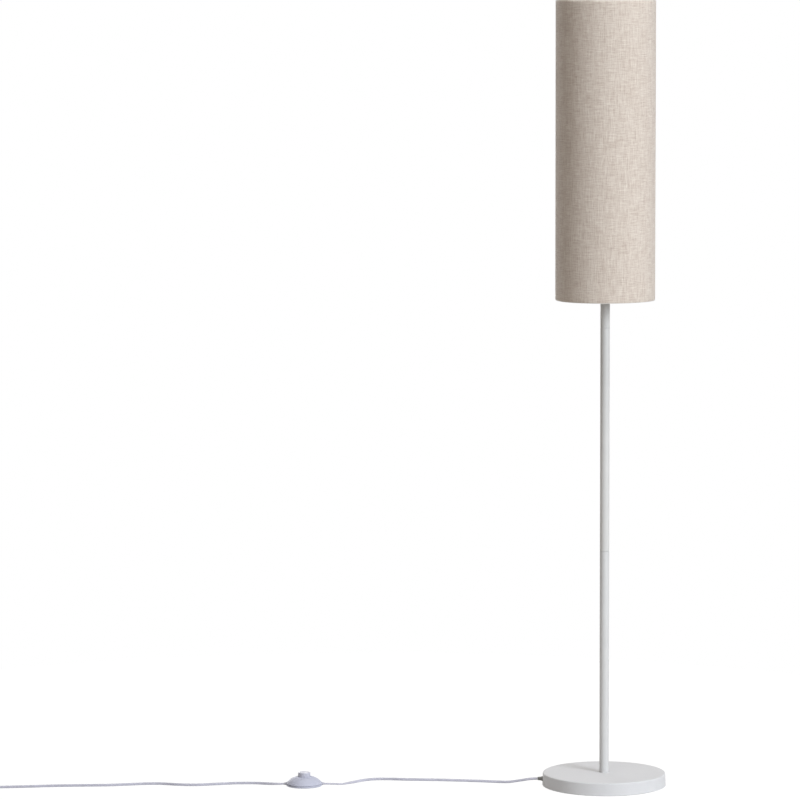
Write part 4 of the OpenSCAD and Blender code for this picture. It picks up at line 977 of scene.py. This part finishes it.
class LAMP_OT_switch(bpy.types.Operator):
    """Makes the foot switch's cover, lip, button and spring, its two reliefs, and the lead's ends in it"""

    bl_idname = "lamp.switch"
    bl_label = "Foot Switch"

    def execute(self, context):
        cover = [*COVER_MOUTH, *bent(COVER_DOME), *COVER_RIM, *bent(COVER_INSIDE), COVER_COLLAR]
        turned("switch_shell", "switch_plastic", cover, SWITCH_CENTRE, replaced=["switch_cover"])
        turned("switch_lip", "switch_plastic", TRAY_LIP, SWITCH_CENTRE)
        points, faces = joined(relief_mesh(way) for way in (-1, 1))
        outward(new_piece("switch_sleeves", points, faces, "relief_rubber", replaced=["switch_reliefs"]))
        turned("switch_cap", "button_plastic", button_outline(), SWITCH_CENTRE, body="button",
               replaced=["switch_button"])

        height = SPRING_HIGH - SPRING_LOW
        foot = SWITCH_CENTRE + UP * SPRING_LOW * MM
        spring = grow("switch_coil", thread_tree(), "spring_steel", replaced=["switch_spring"],
                      Radius=SPRING_RADIUS * MM, Turns=SPRING_TURNS, Crest=SPRING_WIRE * MM,
                      Pitch=(height - 2 * SPRING_WIRE) / SPRING_TURNS * MM, Foot=foot + UP * SPRING_WIRE * MM)
        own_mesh(spring)

        ends = lead_ends(context.scene.lamp_lead)
        points, faces = joined(end[:2] for end in ends)
        corners = [corner for end in ends for corner in end[2]]
        outward(new_piece("switch_lead_ends", points, faces, "cord_pvc", replaced=["switch_cord_ends"],
                          uv=("along", corners)))
        return {"FINISHED"}


# ---- Camera ----

# The photograph's camera, found by fitting the lamp's known sizes to their places in the frame.
CAMERA_PLACE = (-0.412, -8.83912, 1.67557)
CAMERA_PITCH = 0.10039
CAMERA_ROLL = -0.0023
CAMERA_SENSOR = 36
FRAME_PIXELS = 800
FOCAL_PIXELS = 4418.63


class LAMP_OT_camera(bpy.types.Operator):
    """Places the camera where the photograph was taken from"""

    bl_idname = "lamp.camera"
    bl_label = "Camera"

    def execute(self, context):
        data = bpy.data.cameras.new("lamp_camera")
        data.sensor_width = CAMERA_SENSOR
        data.lens = FOCAL_PIXELS / FRAME_PIXELS * CAMERA_SENSOR
        data.clip_start, data.clip_end = 0.1, 100
        camera = bpy.data.objects.new("lamp_camera", data)
        context.scene.collection.objects.link(camera)
        camera.matrix_world = (
            Matrix.Translation(CAMERA_PLACE)
            @ Matrix.Rotation(math.pi / 2 - CAMERA_PITCH, 4, "X")
            @ Matrix.Rotation(CAMERA_ROLL, 4, "Z")
        )
        context.scene.camera = camera
        return {"FINISHED"}


# ---- Shade ----

SHADE_RADIUS = 0.1
SHADE_LOW, SHADE_HIGH = 0.986, 1.586
RING_RADIUS = 1.6 * MM
RING_TO_CLOTH = 0.3 * MM
CLOTH_SIDES, CLOTH_ROWS, HEM_STEPS = 240, 120, 8
# the cloth's outer face wanders a little; the lap rises over as many columns, less on the hem
CLOTH_SEED, CLOTH_DRIFT = 11, 0.03 * MM
OUTER_FROM = SHADE_RADIUS - 2 * MM
LAP_COLUMNS, LAP_LIFT, HEM_LIFT = 3, 1.02, 0.204


def cloth_line(thickness, hem):
    """The cloth's line up the shade: hem inside, over the low ring, up, over the high ring, hem."""
    middle = SHADE_RADIUS - thickness / 2
    bend = RING_RADIUS + thickness / 2 + RING_TO_CLOTH
    low, high = SHADE_LOW + bend + thickness / 2, SHADE_HIGH - bend - thickness / 2
    return [
        (middle - 2 * bend, low + hem),
        *arc((middle - bend, low), bend, 2, 4, HEM_STEPS),
        *((middle, low + (high - low) * i / CLOTH_ROWS) for i in range(1, CLOTH_ROWS)),
        *arc((middle - bend, high), bend, 0, 2, HEM_STEPS),
        (middle - 2 * bend, high - hem),
    ]


class LAMP_OT_shade(bpy.types.Operator):
    """Makes the linen shade: one sheet round the liner, turned in over both rings, lapped at the back"""

    bl_idname = "lamp.shade"
    bl_label = "Linen Shade"

    def execute(self, context):
        shade = context.scene.lamp_shade
        thickness = shade.cloth_thickness
        profile = cloth_line(thickness, shade.hem_height)
        up = running(profile)
        column_width = 2 * math.pi * SHADE_RADIUS / CLOTH_SIDES
        columns = CLOTH_SIDES + math.ceil(shade.seam_width / column_width)
        rng = random.Random(CLOTH_SEED)
        drift = [rng.uniform(-1, 1) for _ in range(columns + 1)]
        points, faces, corners = [], [], []
        for j in range(columns + 1):
            angle = math.pi / 2 + 2 * math.pi * j / CLOTH_SIDES
            over = clamped((j - CLOTH_SIDES + LAP_COLUMNS) / LAP_COLUMNS) * thickness
            for r, z in profile:
                r += over * LAP_LIFT + CLOTH_DRIFT * drift[j] if r > OUTER_FROM else over * HEM_LIFT
                points.append((r * math.cos(angle), r * math.sin(angle), z))
        height = len(profile)
        for j in range(columns):
            for i in range(height - 1):
                a, b = j * height + i, (j + 1) * height + i
                faces.append([a, b, b + 1, a + 1])
                for column, row in ((j, i), (j + 1, i), (j + 1, i + 1), (j, i + 1)):
                    corners.append((column_width * column, up[row]))
        cloth = new_piece("shade_cloth", points, faces, "linen", replaced=["shade_fabric"],
                          uv=("cloth", corners))
        wall = cloth.modifiers.new("thickness", "SOLIDIFY")
        wall.thickness = thickness
        wall.offset = 0.0
        wall.use_even_offset = True
        return {"FINISHED"}


# ---- Pole and lampholder ----

TUBE_RADIUS = 9.5
TUBE_WALL = 1.1
TUBE_ENDS = {"lower_tube": (26, 478), "upper_tube": (478, 930), "top_tube": (930, 1110)}
SKIRT_THREAD = {
    "Radius": 19.45 * MM, "Pitch": 3 * MM, "Turns": 6.2, "Crest": 0.62 * MM, "Foot": (0, 0, 1146.9 * MM)}


class LAMP_OT_pole(bpy.types.Operator):
    """Makes the pole's three tubes with rounded ends, and the thread of the lampholder"""

    bl_idname = "lamp.pole"
    bl_label = "Pole and Holder"

    def execute(self, context):
        paint = context.scene.lamp_paint
        half_gap = paint.joint_gap / MM / 2
        inner = TUBE_RADIUS - TUBE_WALL
        for node, (low, high) in TUBE_ENDS.items():
            low += 0 if node == "lower_tube" else half_gap
            high -= 0 if node == "top_tube" else half_gap
            wall = ((inner, low), (TUBE_RADIUS, low), (TUBE_RADIUS, high), (inner, high))
            outline = rounded(wall, paint.joint_round / MM)
            # The upper tubes get the lightened paint, which is painted light against the shade's shadow; the
            # lower tube keeps its own paint.
            pipe = turned(node + "_pipe", "tube_paint", outline, replaced=[node])
            if node == "lower_tube":
                dress(pipe, "lower_paint")
        grow("skirt_thread", thread_tree(), "white_plastic", **SKIRT_THREAD)
        return {"FINISHED"}


# ---- Carried-over nodes ----


class LAMP_OT_carried(bpy.types.Operator):
    """Gives every CAD node that stays its own material"""

    bl_idname = "lamp.carried"
    bl_label = "Carried Parts"

    def execute(self, context):
        for name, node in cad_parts.items():
            dress(node, "pin_metal" if name == "plug_pins" else node.data.materials[0].name.split(".")[0])
        return {"FINISHED"}


# ---- Stage ----

FLOOR_CENTRE = (-0.5, 0.0)
FLOOR_RADIUS, FLOOR_SIDES = 1.7, 96
FLOOR_DROP = -0.2 * MM
FLOOR_COLOUR = (0.805, 0.8, 0.79)
FLOOR_WHITE_SHARE = 0.84
FLOOR_WHITE = 1.12
SKY_COLOUR = (1.19, 1.0, 0.83)
KEY_COLOUR = (0.95, 1.0, 1.06)
WHITE = (1.0, 1.0, 1.0)
# the key light stands at an angle to the right of the camera's side and above the horizon
KEY_TARGET = (0.0, 0.0, 0.8)
KEY_SIDE, KEY_RISE, KEY_DISTANCE = math.radians(42), math.radians(18), 9.5
TOP_PLACE, TOP_TARGET = (0.2, -0.5, 5.0), (0.2, -0.5, 0)
BACK_PLACE, BACK_SIZE = (-2.9, 7.4, 1.9), (4.0, 3.0)


def seen_by_eye(nodes):
    """1 for a ray that shows the background: from the camera, in a reflection or through glass."""
    rays = nodes.node("LightPath").outputs
    seen = rays["Is Camera Ray"]
    for ray in ("Is Glossy Ray", "Is Transmission Ray"):
        seen = nodes.math("MAXIMUM", seen, rays[ray])
    return seen


def emptied(owner):
    """The node tree of a material or a world, with nothing in it."""
    owner.use_nodes = True
    owner.node_tree.nodes.clear()
    return Nodes(owner.node_tree)


def soft_light(name, place, target, power_in_watts, size, colour):
    """A rectangular soft light at a place, facing its target."""
    data = bpy.data.lights.new(name, "AREA")
    data.shape = "RECTANGLE"
    data.size, data.size_y = size
    data.energy = power_in_watts
    data.color = colour
    lamp = bpy.data.objects.new(name, data)
    lamp.location = place
    lamp.rotation_mode = "QUATERNION"
    lamp.rotation_quaternion = (Vector(target) - Vector(place)).to_track_quat("-Z", "Y")
    lamp.visible_camera = False
    bpy.context.scene.collection.objects.link(lamp)


class LAMP_OT_stage(bpy.types.Operator):
    """Lays the pale floor and sets the soft studio light"""

    bl_idname = "lamp.stage"
    bl_label = "Stage"

    def execute(self, context):
        scene = context.scene
        stage = scene.lamp_stage
        cx, cy = FLOOR_CENTRE
        turns = [2 * math.pi * i / FLOOR_SIDES for i in range(FLOOR_SIDES)]
        rim = [(cx + FLOOR_RADIUS * math.cos(a), cy + FLOOR_RADIUS * math.sin(a), FLOOR_DROP)
               for a in turns]
        mesh = bpy.data.meshes.new("floor")
        mesh.from_pydata(rim, [], [list(range(FLOOR_SIDES))])
        floor = bpy.data.objects.new("floor", mesh)
        scene.collection.objects.link(floor)
        material = bpy.data.materials.new("floor")
        nodes = emptied(material)
        share = nodes.math("MULTIPLY", seen_by_eye(nodes), FLOOR_WHITE_SHARE)
        matt = nodes.node("BsdfDiffuse", {"Color": (*FLOOR_COLOUR, 1)}).outputs[0]
        white = nodes.node("Emission", {"Strength": FLOOR_WHITE}).outputs[0]
        mix = nodes.node("MixShader", {0: share, 1: matt, 2: white}).outputs[0]
        nodes.node("OutputMaterial", {0: mix})
        mesh.materials.append(material)

        scene.world = bpy.data.worlds.new("studio")
        nodes = emptied(scene.world)
        sky = nodes.node("Background", {"Color": (*SKY_COLOUR, 1), "Strength": stage.sky}).outputs[0]
        white = nodes.node("Background", {"Color": (*WHITE, 1)}).outputs[0]
        mix = nodes.node("MixShader", {0: seen_by_eye(nodes), 1: sky, 2: white}).outputs[0]
        nodes.node("OutputWorld", {0: mix})

        way = Vector((math.sin(KEY_SIDE) * math.cos(KEY_RISE), -math.cos(KEY_SIDE) * math.cos(KEY_RISE),
                      math.sin(KEY_RISE)))
        key_size, top_size = (stage.key_width, stage.key_height), (stage.top_size, stage.top_size)
        soft_light("key", Vector(KEY_TARGET) + KEY_DISTANCE * way, KEY_TARGET, stage.key_power, key_size,
                   KEY_COLOUR)
        soft_light("back", BACK_PLACE, KEY_TARGET, stage.back_power, BACK_SIZE, WHITE)
        soft_light("top", TOP_PLACE, TOP_TARGET, stage.top_power, top_size, WHITE)
        scene.view_settings.view_transform = "Standard"
        return {"FINISHED"}


# ---- Panel and registration ----

OPERATORS = (
    LAMP_OT_camera, LAMP_OT_switch, LAMP_OT_plug, LAMP_OT_lead, LAMP_OT_shade, LAMP_OT_pole,
    LAMP_OT_carried, LAMP_OT_stage,
)


class LAMP_PT_panel(bpy.types.Panel):
    """Lists the lamp's pieces and their settings"""

    bl_idname = "LAMP_PT_panel"
    bl_label = "Floor Lamp"
    bl_space_type = "VIEW_3D"
    bl_region_type = "UI"
    bl_category = "Floor Lamp"

    def draw(self, context):
        for operator in OPERATORS:
            self.layout.operator(operator.bl_idname)
        for group, kind in SETTINGS.items():
            box = self.layout.box()
            for key in kind.__annotations__:
                box.prop(getattr(context.scene, group), key)


def register():
    for kind in (*SETTINGS.values(), *OPERATORS, LAMP_PT_panel):
        bpy.utils.register_class(kind)
    for group, kind in SETTINGS.items():
        setattr(bpy.types.Scene, group, bpy.props.PointerProperty(type=kind))


def unregister():
    for group in SETTINGS:
        delattr(bpy.types.Scene, group)
    for kind in (LAMP_PT_panel, *reversed(OPERATORS), *SETTINGS.values()):
        bpy.utils.unregister_class(kind)


def main():
    register()
    for operator in OPERATORS:
        getattr(bpy.ops.lamp, operator.bl_idname.split(".")[1])()
    bpy.context.view_layer.update()


if __name__ == "__main__":
    main()
